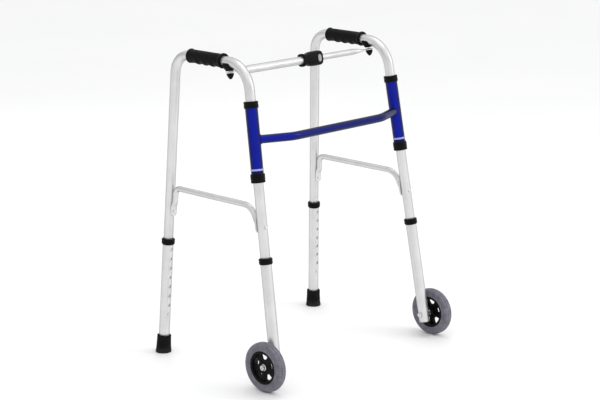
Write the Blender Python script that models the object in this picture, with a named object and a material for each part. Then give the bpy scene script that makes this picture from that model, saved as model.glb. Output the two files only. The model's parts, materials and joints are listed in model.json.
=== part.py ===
"""Folding walking frame with two front wheels, standing open at its lowest height setting.

Metres, +Z up, the user walks towards -Y, so the user's left is +X. The origin is on the floor, in the
middle of the footprint. Two inverted-U side frames turn inside the blue sleeves of the front frame, a
telescopic stay with a lock housing ties the two handles, and all four legs have telescopic lower ends.
"""

import math

import bmesh
import bpy
from mathutils import Matrix, Vector

# ---- side frame ------------------------------------------------------------------------------------
HANDLE_Z = 0.800            # centre line of the handle tube, lowest setting
HANDLE_X = 0.258            # handle centre line from the middle plane
SPLAY = math.radians(2.3)   # each side frame leans outwards towards the floor
FRONT_LEAN = math.radians(9.45)
REAR_LEAN = math.radians(2.5)
FRONT_TOP_Y = -0.064        # where the front leg's line reaches the handle's height
REAR_TOP_Y = 0.194
TUBE_R = 0.0127             # 1 inch tube
TUBE_WALL = 0.0014
FRONT_BEND_R = 0.075
REAR_BEND_R = 0.050
GRIP_Y = (0.018, 0.142)

# ---- telescopic leg ends ---------------------------------------------------------------------------
LEG_R = 0.0143              # 1 1/8 inch tube
LEG_WALL = 0.0012
HOLE_PITCH = 0.0254
HOLE_COUNT = 8
HOLE_R = 0.0042
REAR_LEG_Z = (0.011, 0.3075)
FRONT_LEG_Z = (0.043, 0.3225)
REAR_HOLE_Z = 0.106         # lowest hole, where the button sits
FRONT_HOLE_Z = 0.121
REAR_TUBE_END_Z = 0.078
FRONT_TUBE_END_Z = 0.094
COLLAR_H = 0.0155
COLLAR_LIP = 0.0035
TIP_H = 0.047

# ---- front frame -----------------------------------------------------------------------------------
SLEEVE_R = 0.0160
SLEEVE_BORE_R = 0.0136
SLEEVE_Z = (0.520, 0.708)
CAP_SKIRT = 0.014
CAP_LIPS = (0.008, 0.003)       # bottom, top
CROSSBAR_R = 0.0111
CROSSBAR_WALL = 0.0016
CROSSBAR_Z = 0.617
CROSSBAR_BOW_X = 0.165
CROSSBAR_BOW = 0.038        # how far the middle stands forward of the sleeves
CROSSBAR_BEND_R = 0.090

# ---- brace between the two legs of a side ----------------------------------------------------------
BRACE_R = 0.0075
BRACE_Z = 0.450
BRACE_FLAT = 0.0030         # half thickness where it is flattened
BRACE_REAR_Z = 0.374
BRACE_FRONT_Z = 0.384
RIVET_REAR_Z = 0.388
RIVET_FRONT_Z = 0.401
RIVET_SHANK_R = 0.0022
RIVET_HOLE_R = 0.0026

# ---- wheels ----------------------------------------------------------------------------------------
WHEEL_R = 0.0635
TYRE_HALF_W = 0.0125
RIM_R = 0.0425
WHEEL_OUT = 0.035           # wheel centre outboard of the leg's centre line
HUB_R = 0.0125
BOLT_R = 0.0040
BOLT_HOLE_R = 0.0043
SPOKES = 5

# ---- telescopic stay between the handles -----------------------------------------------------------
STAY_DROP = 0.026           # stay centre line below the handle's centre line
STAY_Y = -0.0043
STAY_OUTER_R = 0.0105
STAY_BORE_R = 0.0093
STAY_INNER_R = 0.0080
STAY_OUTER_END_X = 0.036
STAY_INNER_END_X = -0.012
HOUSING_X = (-0.004, 0.066)
LOCK_BUTTON_X = 0.050
EYE_R = 0.011
EYE_HALF_T = 0.0016
PIVOT_PIN_R = 0.0030
PIVOT_HOLE_R = 0.0034
PIVOT_GAP = 0.0016          # clearance over the eye that turns on its pin
OPEN_PIVOT_GAP = 0.0042     # clearance over the eye whose pivot is left open

GAP = 0.0003                # between pieces that touch
SEGMENTS = 14

LEFT, RIGHT = 1, -1
SIDE_NAMES = {LEFT: "left", RIGHT: "right"}


# ---- materials -------------------------------------------------------------------------------------
def material(name, colour, roughness, metallic):
    made = bpy.data.materials.new(name)
    made.use_nodes = True
    made.diffuse_color = (*colour, 1.0)
    shader = made.node_tree.nodes["Principled BSDF"]
    shader.inputs["Base Color"].default_value = (*colour, 1.0)
    shader.inputs["Roughness"].default_value = roughness
    shader.inputs["Metallic"].default_value = metallic
    return made


# ---- mesh helpers ----------------------------------------------------------------------------------
def add_object(name, bm, look, matrix=None):
    """Turns a bmesh into a named object with its faces pointing out."""
    bmesh.ops.recalc_face_normals(bm, faces=bm.faces)
    mesh = bpy.data.meshes.new(name)
    bm.to_mesh(mesh)
    bm.free()
    mesh.shade_smooth()
    mesh.set_sharp_from_angle(angle=math.radians(35))
    made = bpy.data.objects.new(name, mesh)
    bpy.context.scene.collection.objects.link(made)
    if look:
        mesh.materials.append(look)
    made.matrix_world = matrix or Matrix.Identity(4)
    return made


def bridge_rings(bm, first, second):
    count = len(first)
    for i in range(count):
        j = (i + 1) % count
        bm.faces.new((first[i], first[j], second[j], second[i]))


def turned(name, profile, look, matrix, segments=SEGMENTS):
    """A turned piece about local Z. Profile points are (radius, height).

    A profile that starts and ends at radius 0 is solid, and any other one is closed into a ring.
    """
    bm = bmesh.new()
    rings = []
    for radius, height in profile:
        if radius == 0.0:
            rings.append([bm.verts.new((0.0, 0.0, height))])
            continue
        turn = [2.0 * math.pi * k / segments for k in range(segments)]
        rings.append([bm.verts.new((radius * math.cos(a), radius * math.sin(a), height)) for a in turn])
    pairs = list(zip(rings, rings[1:]))
    if len(rings[0]) > 1:
        pairs.append((rings[-1], rings[0]))
    for first, second in pairs:
        if len(first) == 1 or len(second) == 1:
            pole, ring = (first[0], second) if len(first) == 1 else (second[0], first)
            for i in range(segments):
                bm.faces.new((pole, ring[i], ring[(i + 1) % segments]))
        else:
            bridge_rings(bm, first, second)
    return add_object(name, bm, look, matrix)


def filleted(corners, radii, steps):
    """A path through the corners, each inner corner rounded to its radius with an arc of steps pieces."""
    path = [corners[0]]
    for before, corner, after, radius in zip(corners, corners[1:], corners[2:], radii):
        back = (before - corner).normalized()
        ahead = (after - corner).normalized()
        half = back.angle(ahead) / 2.0
        middle = (back + ahead).normalized()
        centre = corner + middle * (radius / math.sin(half))
        start = corner + back * (radius / math.tan(half)) - centre
        sweep = math.pi - 2.0 * half
        spin = start.cross(ahead).normalized()
        for k in range(steps + 1):
            path.append(centre + Matrix.Rotation(sweep * k / steps, 3, spin) @ start)
    path.append(corners[-1])
    return path


def path_frames(path, normal):
    """For each point, the two directions across the path: in its plane, and along the plane's normal."""
    frames = []
    for i, point in enumerate(path):
        behind = path[max(i - 1, 0)]
        ahead = path[min(i + 1, len(path) - 1)]
        tangent = (point - behind).normalized() + (ahead - point).normalized()
        across = normal.cross(tangent).normalized()
        frames.append((point, across, normal))
    return frames


def swept(name, path, normal, sizes, look, power=None, bore=None, segments=SEGMENTS):
    """Sweeps a rounded section along a flat path, with its half sizes at each point, or a bored tube."""
    bm = bmesh.new()
    outer, inner = [], []
    for i, (point, across, up) in enumerate(path_frames(path, normal)):
        half_across, half_up = sizes[i]
        squareness = 2.0 if power is None else power[i]
        ring, hole = [], []
        for k in range(segments):
            angle = 2.0 * math.pi * k / segments
            c, s = math.cos(angle), math.sin(angle)
            u = math.copysign(abs(c) ** (2.0 / squareness), c)
            v = math.copysign(abs(s) ** (2.0 / squareness), s)
            ring.append(bm.verts.new(point + across * (u * half_across) + up * (v * half_up)))
            if bore:
                hole.append(bm.verts.new(point + across * (c * bore) + up * (s * bore)))
        outer.append(ring)
        inner.append(hole)
    for first, second in zip(outer, outer[1:]):
        bridge_rings(bm, first, second)
    if bore:
        for first, second in zip(inner, inner[1:]):
            bridge_rings(bm, first, second)
        bridge_rings(bm, outer[0], inner[0])
        bridge_rings(bm, outer[-1], inner[-1])
    else:
        bm.faces.new(outer[0])
        bm.faces.new(outer[-1])
    return add_object(name, bm, look)


def tube(name, path, normal, radius, wall, look):
    return swept(name, path, normal, [(radius, radius)] * len(path), look, bore=radius - wall)


def cutter_cylinders(name, rods, segments=12):
    """One hidden cutter made of round rods, each given by its two ends and its radius."""
    bm = bmesh.new()
    for start, end, radius in rods:
        axis = end - start
        turn = axis.to_track_quat("Z", "Y").to_matrix().to_4x4()
        place = Matrix.Translation((start + end) / 2.0) @ turn
        bmesh.ops.create_cone(bm, cap_ends=True, segments=segments, radius1=radius, radius2=radius,
                              depth=axis.length, matrix=place)
    return hide(add_object(name, bm, None))


def cutter_box(name, low, high):
    bm = bmesh.new()
    middle = (Vector(low) + Vector(high)) / 2.0
    size = Vector(high) - Vector(low)
    bmesh.ops.create_cube(bm, size=1.0, matrix=Matrix.Translation(middle) @ Matrix.Diagonal((*size, 1.0)))
    return hide(add_object(name, bm, None))


def hide(made):
    made.hide_render = True
    made.display_type = "WIRE"
    return made


def boolean(made, tool, operation="DIFFERENCE"):
    step = made.modifiers.new(operation.lower(), "BOOLEAN")
    step.operation = operation
    step.solver = "EXACT"
    step.object = tool


def bevel(made, width, segments=1):
    step = made.modifiers.new("bevel", "BEVEL")
    step.width = width
    step.segments = segments
    step.limit_method = "ANGLE"
    step.angle_limit = math.radians(40)


def frame_on(point, up, forward):
    """A local frame at a point: Z along up, X towards forward as near as it can be."""
    z = up.normalized()
    x = (forward - z * forward.dot(z)).normalized()
    y = z.cross(x)
    turn = Matrix((x, y, z)).transposed().to_4x4()
    return Matrix.Translation(point) @ turn


# ---- where things are ------------------------------------------------------------------------------
FORWARD = Vector((0.0, -1.0, 0.0))
ALONG_X = Vector((1.0, 0.0, 0.0))


def side_point(side, y, z):
    """A point of a side frame's own leaning plane."""
    return Vector((side * (HANDLE_X + (HANDLE_Z - z) * math.tan(SPLAY)), y, z))


def side_normal(side):
    return Vector((side * math.cos(SPLAY), 0.0, math.sin(SPLAY)))


def front_point(side, z):
    return side_point(side, FRONT_TOP_Y - (HANDLE_Z - z) * math.tan(FRONT_LEAN), z)


def rear_point(side, z):
    return side_point(side, REAR_TOP_Y + (HANDLE_Z - z) * math.tan(REAR_LEAN), z)


def leg_frame(leg_point, side, z):
    return frame_on(leg_point(side, z), leg_point(side, 1.0) - leg_point(side, 0.0), FORWARD)


def leg_length(leg_point, side, low, high):
    return (leg_point(side, high) - leg_point(side, low)).length


def stay_pivot(side):
    return side_point(side, STAY_Y, HANDLE_Z - STAY_DROP)


def fold_axis(side):
    return (front_point(side, 1.0) - front_point(side, 0.0)).normalized()


def joint_empty(name, matrix):
    made = bpy.data.objects.new(name, None)
    bpy.context.scene.collection.objects.link(made)
    made.matrix_world = matrix
    return made


def attach(pieces, parent):
    bpy.context.view_layer.update()
    for piece in pieces:
        piece.parent = parent
        piece.matrix_parent_inverse = parent.matrix_world.inverted()


# ---- front frame -----------------------------------------------------------------------------------
def build_sleeve(side, looks):
    label = SIDE_NAMES[side]
    base = leg_frame(front_point, side, SLEEVE_Z[0])
    length = leg_length(front_point, side, *SLEEVE_Z)
    ring = [(SLEEVE_BORE_R, 0.0), (SLEEVE_R, 0.0), (SLEEVE_R, length), (SLEEVE_BORE_R, length)]
    pieces = [turned(f"sleeve_{label}", ring, looks["blue"], base)]
    over = SLEEVE_R + GAP
    bore = TUBE_R + 0.0005
    outside = 0.0185
    upside_down = base @ Matrix.Rotation(math.pi, 4, "X")
    top = base @ Matrix.Translation((0.0, 0.0, length))
    for end, place, lip in (("bottom", upside_down, CAP_LIPS[0]), ("top", top, CAP_LIPS[1])):
        profile = [(bore, lip), (outside - 0.0015, lip), (outside, lip - 0.0015), (outside, -CAP_SKIRT + 0.002),
                   (outside - 0.0010, -CAP_SKIRT), (over, -CAP_SKIRT), (over, GAP), (bore, GAP)]
        pieces.append(turned(f"sleeve_cap_{end}_{label}", profile, looks["black"], place))
    return pieces


def build_crossbar(looks):
    sleeve_y = front_point(LEFT, CROSSBAR_Z).y
    sleeve_x = front_point(LEFT, CROSSBAR_Z).x
    bow_y = sleeve_y - CROSSBAR_BOW
    corners = [Vector((-sleeve_x, sleeve_y, CROSSBAR_Z)), Vector((-CROSSBAR_BOW_X, bow_y, CROSSBAR_Z)),
               Vector((CROSSBAR_BOW_X, bow_y, CROSSBAR_Z)), Vector((sleeve_x, sleeve_y, CROSSBAR_Z))]
    path = filleted(corners, [CROSSBAR_BEND_R] * 2, 3)
    bar = tube("crossbar", path, Vector((0.0, 0.0, 1.0)), CROSSBAR_R, CROSSBAR_WALL, looks["blue"])
    rods = [(front_point(side, CROSSBAR_Z - 0.05), front_point(side, CROSSBAR_Z + 0.05), SLEEVE_R + GAP)
            for side in (LEFT, RIGHT)]
    boolean(bar, cutter_cylinders("crossbar_cope", rods, segments=24))
    return [bar]


# ---- side frames -----------------------------------------------------------------------------------
def button_rod(leg_point, side, z, towards, radius):
    """A short rod through one wall of a leg, for its snap button."""
    frame = leg_frame(leg_point, side, z)
    return (frame @ Vector((0.006 * towards, 0.0, 0.0)), frame @ Vector((0.020 * towards, 0.0, 0.0)), radius)


def side_tube_path(side):
    corners = [rear_point(side, REAR_TUBE_END_Z), rear_point(side, HANDLE_Z),
               front_point(side, HANDLE_Z), front_point(side, FRONT_TUBE_END_Z)]
    return filleted(corners, [REAR_BEND_R, FRONT_BEND_R], 5)


def build_side_tube(side, looks):
    label = SIDE_NAMES[side]
    path = side_tube_path(side)
    made = tube(f"side_tube_{label}", path, side_normal(side), TUBE_R, TUBE_WALL, looks["silver"])
    rods = [button_rod(rear_point, side, REAR_HOLE_Z, 1, HOLE_R),
            button_rod(front_point, side, FRONT_HOLE_Z, -1, HOLE_R)]
    for leg_point, z in ((rear_point, RIVET_REAR_Z), (front_point, RIVET_FRONT_Z)):
        frame = leg_frame(leg_point, side, z)
        rods.append((frame @ Vector((-0.025, 0.0, 0.0)), frame @ Vector((0.025, 0.0, 0.0)), RIVET_HOLE_R))
    boolean(made, cutter_cylinders(f"side_tube_holes_{label}", rods))
    return made


def build_handgrip(side, looks):
    """A moulded grip with a flange at each end and four shallow finger swells."""
    start, end = GRIP_Y
    length = end - start
    bore = TUBE_R + GAP
    outline = [(0.0190, 0.0), (0.0195, 0.004), (0.0190, 0.009), (0.0158, 0.014)]
    swells = 4
    first, last = 0.014, length - 0.016
    for k in range(1, 2 * swells):
        part = k / (2 * swells)
        outline.append((0.0166 if k % 2 else 0.0156, first + part * (last - first)))
    outline += [(0.0160, last), (0.0188, length - 0.010), (0.0192, length - 0.005), (0.0175, length)]
    profile = outline + [(bore, length), (bore, 0.0)]
    where = frame_on(side_point(side, start, HANDLE_Z), Vector((0.0, 1.0, 0.0)), Vector((0.0, 0.0, 1.0)))
    return turned(f"handgrip_{SIDE_NAMES[side]}", profile, looks["grip"], where)


def brace_path(side):
    """Corners of the brace's centre line, in the side frame's plane, and its half thickness at the ends."""
    flat_offset = TUBE_R + GAP + BRACE_FLAT
    round_offset = TUBE_R + GAP + BRACE_R
    rear_stations = ((BRACE_REAR_Z, flat_offset), (0.400, flat_offset),
                     (0.416, round_offset), (BRACE_Z, round_offset))
    front_stations = ((BRACE_Z, round_offset), (0.434, round_offset),
                      (0.416, flat_offset), (BRACE_FRONT_Z, flat_offset))
    rear = [rear_point(side, z) + FORWARD * offset for z, offset in rear_stations]
    front = [front_point(side, z) - FORWARD * offset for z, offset in front_stations]
    return rear, front


def build_brace(side, looks):
    label = SIDE_NAMES[side]
    rear, front = brace_path(side)
    bend = filleted([rear[2], rear[3], front[0], front[1]], [0.018, 0.045], 5)
    path = [rear[0], rear[1]] + bend + [front[2], front[3]]
    flat = (BRACE_FLAT, 0.0098)
    sizes = [flat, flat] + [(BRACE_R, BRACE_R)] * len(bend) + [flat, flat]
    power = [3.5, 3.5] + [2.0] * len(bend) + [3.5, 3.5]
    made = swept(f"side_brace_{label}", path, side_normal(side), sizes, looks["silver"], power,
                 segments=12)
    rods = []
    for leg_point, z in ((rear_point, RIVET_REAR_Z), (front_point, RIVET_FRONT_Z)):
        frame = leg_frame(leg_point, side, z)
        rods.append((frame @ Vector((-0.025, 0.0, 0.0)), frame @ Vector((0.025, 0.0, 0.0)), RIVET_HOLE_R))
    boolean(made, cutter_cylinders(f"side_brace_holes_{label}", rods))
    return made


def build_rivet(name, frame, brace_towards, looks):
    """A rivet right through the leg and the brace's flattened end, along the leg frame's X."""
    shank = RIVET_SHANK_R
    head = 0.0045
    far = TUBE_R + GAP
    near = TUBE_R + 2.0 * GAP + 2.0 * BRACE_FLAT + GAP
    profile = [(0.0, near + 0.0016), (0.6 * head, near + 0.0013), (head, near), (shank, near),
               (shank, -far), (head, -far), (0.6 * head, -far - 0.0013), (0.0, -far - 0.0016)]
    turn = Matrix.Rotation(math.pi / 2.0 * brace_towards, 4, "Y")
    return turned(name, profile, looks["steel"], frame @ turn, segments=10)


def build_bracket(side, looks):
    """The black saddle under the handle that holds the end of the stay."""
    label = SIDE_NAMES[side]
    gap = PIVOT_GAP if side == RIGHT else OPEN_PIVOT_GAP
    frame = frame_on(stay_pivot(side), fold_axis(side), FORWARD)
    bm = bmesh.new()
    low = EYE_HALF_T + gap
    high = 0.031
    middle = Vector((-0.001, 0.0, (low + high) / 2.0))
    size = Vector((0.024, 0.030, high - low))
    bmesh.ops.create_cube(bm, size=1.0, matrix=Matrix.Translation(middle) @ Matrix.Diagonal((*size, 1.0)))
    made = add_object(f"stay_bracket_{label}", bm, looks["black"], frame)
    path = side_tube_path(side)
    seat = (TUBE_R + GAP, TUBE_R + GAP)
    cutter = swept(f"stay_bracket_seat_{label}", path, side_normal(side), [seat] * len(path), None,
                   segments=32)
    boolean(made, hide(cutter))
    handle = side_point(side, 0.0, HANDLE_Z)
    top = cutter_box(f"stay_bracket_top_{label}", (-0.030, -0.060, 0.0), (0.030, 0.060, 0.030))
    top.matrix_world = Matrix.Translation(handle - Vector((0.0, 0.0, 0.003)))
    boolean(made, top)
    if side == RIGHT:
        bore = [(frame @ Vector((0.0, 0.0, -0.001)), frame @ Vector((0.0, 0.0, 0.0102)), PIVOT_HOLE_R)]
        boolean(made, cutter_cylinders(f"stay_bracket_bore_{label}", bore))
    bevel(made, 0.0025)
    return made


def build_side_frame(side, looks):
    label = SIDE_NAMES[side]
    rear = leg_frame(rear_point, side, RIVET_REAR_Z)
    front = leg_frame(front_point, side, RIVET_FRONT_Z)
    return [build_side_tube(side, looks), build_handgrip(side, looks), build_brace(side, looks),
            build_rivet(f"brace_rivet_rear_{label}", rear, 1, looks),
            build_rivet(f"brace_rivet_front_{label}", front, -1, looks),
            build_bracket(side, looks)]


# ---- telescopic leg ends ---------------------------------------------------------------------------
def build_leg_tube(name, leg_point, side, ends, lowest_hole, towards, looks, extra=()):
    """A lower leg tube with a row of height holes in the wall that faces towards."""
    normal = side_normal(side)
    path = [leg_point(side, ends[0]), leg_point(side, ends[1])]
    made = tube(name, path, normal, LEG_R, LEG_WALL, looks["silver"])
    up = (path[1] - path[0]).normalized()
    rods = []
    for k in range(HOLE_COUNT):
        start, end, radius = button_rod(leg_point, side, lowest_hole, towards, HOLE_R)
        rods.append((start + up * (k * HOLE_PITCH), end + up * (k * HOLE_PITCH), radius))
    boolean(made, cutter_cylinders(f"{name}_holes", rods + list(extra), segments=8))
    return made


def build_collar(name, leg_point, side, tube_top, looks):
    """The collar over the top of a lower leg tube, closing onto the upper tube."""
    frame = leg_frame(leg_point, side, tube_top)
    over, bore = LEG_R + GAP, TUBE_R + 0.0004
    lip = COLLAR_LIP
    foot = lip - COLLAR_H
    profile = [(bore, lip), (0.0168, lip), (0.0177, lip - 0.0012), (0.0174, foot + 0.004),
               (0.0162, foot + 0.001), (over + 0.0008, foot), (over, foot + 0.001), (over, GAP), (bore, GAP)]
    return turned(name, profile, looks["black"], frame)


def build_rubber_tip(side, looks):
    label = SIDE_NAMES[side]
    frame = leg_frame(rear_point, side, 0.0)
    over = LEG_R + GAP
    seat = REAR_LEG_Z[0] - GAP
    profile = [(0.0, -0.006), (0.0212, -0.006), (0.0212, 0.006), (0.0203, 0.011), (0.0195, 0.030),
               (0.0190, TIP_H - 0.003), (0.0182, TIP_H), (over + 0.0012, TIP_H), (over, TIP_H - 0.002),
               (over, seat), (0.0, seat)]
    made = turned(f"rubber_tip_{label}", profile, looks["rubber"], frame, segments=18)
    boolean(made, cutter_box(f"rubber_tip_floor_{label}", (-0.40, -0.40, -0.05), (0.40, 0.40, 0.0)))
    return made


def build_snap_button(name, leg_point, side, z, towards, looks):
    """A headed button that stands in the upper tube's hole, just inside the lower tube's wall."""
    frame = leg_frame(leg_point, side, z) @ Matrix.Rotation(math.pi / 2.0 * towards, 4, "Y")
    profile = [(0.0, 0.0066), (0.0052, 0.0066), (0.0052, 0.0080), (0.0038, 0.0080), (0.0038, 0.0117),
               (0.0028, 0.0124), (0.0, 0.0125)]
    return turned(name, profile, looks["steel"], frame, segments=12)


def build_rear_leg(side, looks):
    label = SIDE_NAMES[side]
    return [build_leg_tube(f"rear_leg_{label}", rear_point, side, REAR_LEG_Z, REAR_HOLE_Z, 1, looks),
            build_collar(f"rear_collar_{label}", rear_point, side, REAR_LEG_Z[1], looks),
            build_rubber_tip(side, looks)]


# ---- wheels ----------------------------------------------------------------------------------------
def axle_point(side, outboard):
    return front_point(side, WHEEL_R) + ALONG_X * (side * outboard)


def axle_frame(side, outboard):
    """Local Z points outboard along the axle, local X up."""
    return frame_on(axle_point(side, outboard), ALONG_X * side, Vector((0.0, 0.0, 1.0)))


def build_front_leg(side, looks):
    label = SIDE_NAMES[side]
    bolt_hole = [(axle_point(side, -0.03), axle_point(side, 0.03), BOLT_HOLE_R)]
    pieces = [build_leg_tube(f"front_leg_{label}", front_point, side, FRONT_LEG_Z, FRONT_HOLE_Z, -1, looks,
                             bolt_hole),
              build_collar(f"front_collar_{label}", front_point, side, FRONT_LEG_Z[1], looks)]
    inside = -LEG_R - 0.0008
    tip = WHEEL_OUT + 0.0135
    bolt = [(0.0, inside - 0.0050), (0.0058, inside - 0.0050), (0.0068, inside - 0.0040), (0.0068, inside),
            (BOLT_R, inside), (BOLT_R, tip - 0.001), (BOLT_R - 0.0008, tip), (0.0, tip)]
    pieces.append(turned(f"axle_bolt_{label}", bolt, looks["steel"], axle_frame(side, 0.0), segments=12))
    near, far = LEG_R + 0.0008, WHEEL_OUT - 0.0110 - GAP
    spacer = [(BOLT_HOLE_R, near), (0.0085, near), (0.0085, far), (BOLT_HOLE_R, far)]
    pieces.append(turned(f"wheel_spacer_{label}", spacer, looks["steel"], axle_frame(side, 0.0)))
    low = WHEEL_OUT + 0.0060 + GAP
    nut_bore = BOLT_R / math.cos(math.pi / 6.0) + 0.0002
    nut = [(nut_bore, low), (0.0075, low), (0.0075, low + 0.0050), (0.0060, low + 0.0062),
           (nut_bore, low + 0.0062)]
    pieces.append(turned(f"axle_nut_{label}", nut, looks["steel"], axle_frame(side, 0.0), segments=6))
    return pieces


def build_rim(side, looks):
    """Barrel, hub and flat spokes, joined into one moulding."""
    label = SIDE_NAMES[side]
    frame = axle_frame(side, WHEEL_OUT)
    barrel_in = 0.0355
    barrel = [(barrel_in, -0.0100), (RIM_R - 0.0010, -0.0110), (RIM_R, -0.0100), (RIM_R, 0.0100),
              (RIM_R - 0.0010, 0.0110), (barrel_in, 0.0100)]
    made = turned(f"wheel_rim_{label}", barrel, looks["black"], frame, segments=24)
    hub = [(0.0068, -0.0110), (HUB_R, -0.0110), (HUB_R, 0.0045), (HUB_R - 0.0012, 0.0060), (0.0068, 0.0060)]
    boolean(made, hide(turned(f"wheel_hub_{label}", hub, None, frame, segments=16)), "UNION")
    bm = bmesh.new()
    inner, outer = HUB_R - 0.0030, barrel_in + 0.0030
    for k in range(SPOKES):
        turn = Matrix.Rotation(2.0 * math.pi * (k + 0.5) / SPOKES, 4, "Z")
        ring = []
        for z in (-0.0002, 0.0054):
            for radius, half in ((inner, 0.0072), (outer, 0.0096)):
                ring.append((bm.verts.new(turn @ Vector((radius, -half, z))),
                             bm.verts.new(turn @ Vector((radius, half, z)))))
        low_in, low_out, high_in, high_out = ring
        bm.faces.new((low_in[0], low_in[1], low_out[1], low_out[0]))
        bm.faces.new((high_in[0], high_in[1], high_out[1], high_out[0]))
        bm.faces.new((low_in[0], low_in[1], high_in[1], high_in[0]))
        bm.faces.new((low_out[0], low_out[1], high_out[1], high_out[0]))
        bm.faces.new((low_in[0], low_out[0], high_out[0], high_in[0]))
        bm.faces.new((low_in[1], low_out[1], high_out[1], high_in[1]))
    spokes = hide(add_object(f"wheel_spokes_{label}", bm, None, frame))
    boolean(made, spokes, "UNION")
    return made


def build_wheel(side, looks):
    label = SIDE_NAMES[side]
    frame = axle_frame(side, WHEEL_OUT)
    bead = RIM_R + GAP
    half = TYRE_HALF_W
    tyre = [(bead, -half + 0.0010), (0.0450, -half), (0.0570, -half), (0.0615, -half + 0.0040),
            (WHEEL_R, -0.0030), (WHEEL_R, 0.0030), (0.0615, half - 0.0040), (0.0570, half), (0.0450, half),
            (bead, half - 0.0010)]
    bush = [(BOLT_HOLE_R, -0.0108), (0.0064, -0.0108), (0.0064, 0.0058), (BOLT_HOLE_R, 0.0058)]
    return [turned(f"tyre_{label}", tyre, looks["tyre"], frame, segments=32), build_rim(side, looks),
            turned(f"wheel_bush_{label}", bush, looks["brass"], frame, segments=12)]


# ---- telescopic stay -------------------------------------------------------------------------------
def smooth_step(value):
    t = min(max(value, 0.0), 1.0)
    return t * t * (3.0 - 2.0 * t)


def stay_stations(side, end_x, radius):
    """Stations along the stay from its flat eye to its round inner end: place, half sizes, squareness."""
    pivot = stay_pivot(side)
    total = abs(pivot.x - end_x)
    distances = [-EYE_R * math.cos(math.radians(a)) for a in (8, 30, 55, 90)]
    distances += [0.014, 0.024, 0.034, 0.044, 0.056, 0.070, total]
    path, sizes, power = [], [], []
    for distance in distances:
        swell = smooth_step((distance - 0.014) / 0.056)
        if distance < 0.0:
            half_width = math.sqrt(EYE_R ** 2 - distance ** 2)
        else:
            half_width = EYE_R + (radius - EYE_R) * swell
        path.append(pivot - ALONG_X * (side * distance))
        sizes.append((half_width, EYE_HALF_T + (radius - EYE_HALF_T) * swell))
        power.append(4.0 - 2.0 * swell)
    return path, sizes, power


def stay_up():
    """Upward direction across the stay, square to it and in line with the lean of the fold axes."""
    return Vector((0.0, math.sin(FRONT_LEAN), math.cos(FRONT_LEAN)))


def build_stay_tube(name, side, end_x, radius, bore, bore_from, looks):
    path, sizes, power = stay_stations(side, end_x, radius)
    made = swept(name, path, stay_up(), sizes, looks["silver"], power)
    pivot = stay_pivot(side)
    pin = fold_axis(side)
    inward = -ALONG_X * side
    rods = [(pivot - pin * 0.006, pivot + pin * 0.006, PIVOT_HOLE_R)]
    boolean(made, cutter_cylinders(f"{name}_eye", rods, segments=14))
    hollow = (pivot + inward * bore_from, Vector((end_x, pivot.y, pivot.z)) + inward * 0.01, bore)
    boolean(made, cutter_cylinders(f"{name}_bore", [hollow], segments=16))
    return made


def build_pin(side, looks):
    """The pivot pin under a handle, and the knob that closes its lower end."""
    label = SIDE_NAMES[side]
    frame = frame_on(stay_pivot(side), fold_axis(side), FORWARD)
    top = 0.0098 if side == RIGHT else EYE_HALF_T + 0.0004
    pin = [(0.0, -0.0110), (PIVOT_PIN_R, -0.0110), (PIVOT_PIN_R, top), (0.0, top)]
    low = -EYE_HALF_T - 0.0008
    socket = -0.0114
    knob = [(0.0, socket), (PIVOT_HOLE_R, socket), (PIVOT_HOLE_R, low), (0.0092, low),
            (0.0096, low - 0.0015), (0.0086, low - 0.0055), (0.0064, low - 0.0100), (0.0034, low - 0.0142),
            (0.0, low - 0.0150)]
    return [turned(f"stay_pin_{label}", pin, looks["steel"], frame, segments=12),
            turned(f"stay_knob_{label}", knob, looks["black"], frame)]


def stay_frame(x):
    """Local Z along +X, local X to the front, local Y up, at a point of the stay's centre line."""
    pivot = stay_pivot(RIGHT)
    return frame_on(Vector((x, pivot.y, pivot.z)), ALONG_X, ALONG_X.cross(stay_up()))


def build_housing(looks):
    """The lock housing: it grips the outer tube's end, and the inner tube slides through it."""
    low, high = HOUSING_X
    stations = [(low, 0.0125, 0.0150), (low + 0.006, 0.0120, 0.0138), (low + 0.016, 0.0135, 0.0150),
                (low + 0.028, 0.0150, 0.0185), (high - 0.008, 0.0152, 0.0192), (high - 0.002, 0.0142, 0.0180),
                (high, 0.0125, 0.0160)]
    pivot = stay_pivot(RIGHT)
    path = [Vector((x, pivot.y, pivot.z)) for x, _, _ in stations]
    sizes = [(depth, height) for _, depth, height in stations]
    made = swept("lock_housing", path, stay_up(), sizes, looks["black"], [3.2] * len(path), segments=16)
    frame = stay_frame(0.0)
    rods = [(frame @ Vector((0.0, 0.0, low - 0.01)), frame @ Vector((0.0, 0.0, high + 0.01)),
             STAY_INNER_R + 0.0004)]
    boolean(made, cutter_cylinders("lock_housing_small_bore", rods, segments=16))
    rods = [(frame @ Vector((0.0, 0.0, low - 0.01)), frame @ Vector((0.0, 0.0, STAY_OUTER_END_X + GAP)),
             STAY_OUTER_R + GAP)]
    boolean(made, cutter_cylinders("lock_housing_large_bore", rods, segments=16))
    button = stay_frame(LOCK_BUTTON_X)
    rods = [(button @ Vector((0.004, 0.0, 0.0)), button @ Vector((0.030, 0.0, 0.0)), 0.0066)]
    boolean(made, cutter_cylinders("lock_housing_button_hole", rods, segments=16))
    return made


def build_lock_button(looks):
    frame = stay_frame(LOCK_BUTTON_X) @ Matrix.Rotation(math.pi / 2.0, 4, "Y")
    profile = [(0.0, 0.0112), (0.0062, 0.0112), (0.0062, 0.0166), (0.0054, 0.0176), (0.0, 0.0180)]
    return turned("lock_button", profile, looks["steel"], frame, segments=16)


def build_bush(looks):
    frame = stay_frame(-0.006)
    inner, outer = STAY_INNER_R + 0.0003, STAY_BORE_R - 0.0003
    profile = [(inner, 0.0), (outer, 0.0), (outer, 0.012), (inner, 0.012)]
    return turned("stay_bush", profile, looks["black"], frame)


# ---- whole frame -----------------------------------------------------------------------------------
def clear_scene():
    for old in list(bpy.data.objects):
        bpy.data.objects.remove(old, do_unlink=True)


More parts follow.
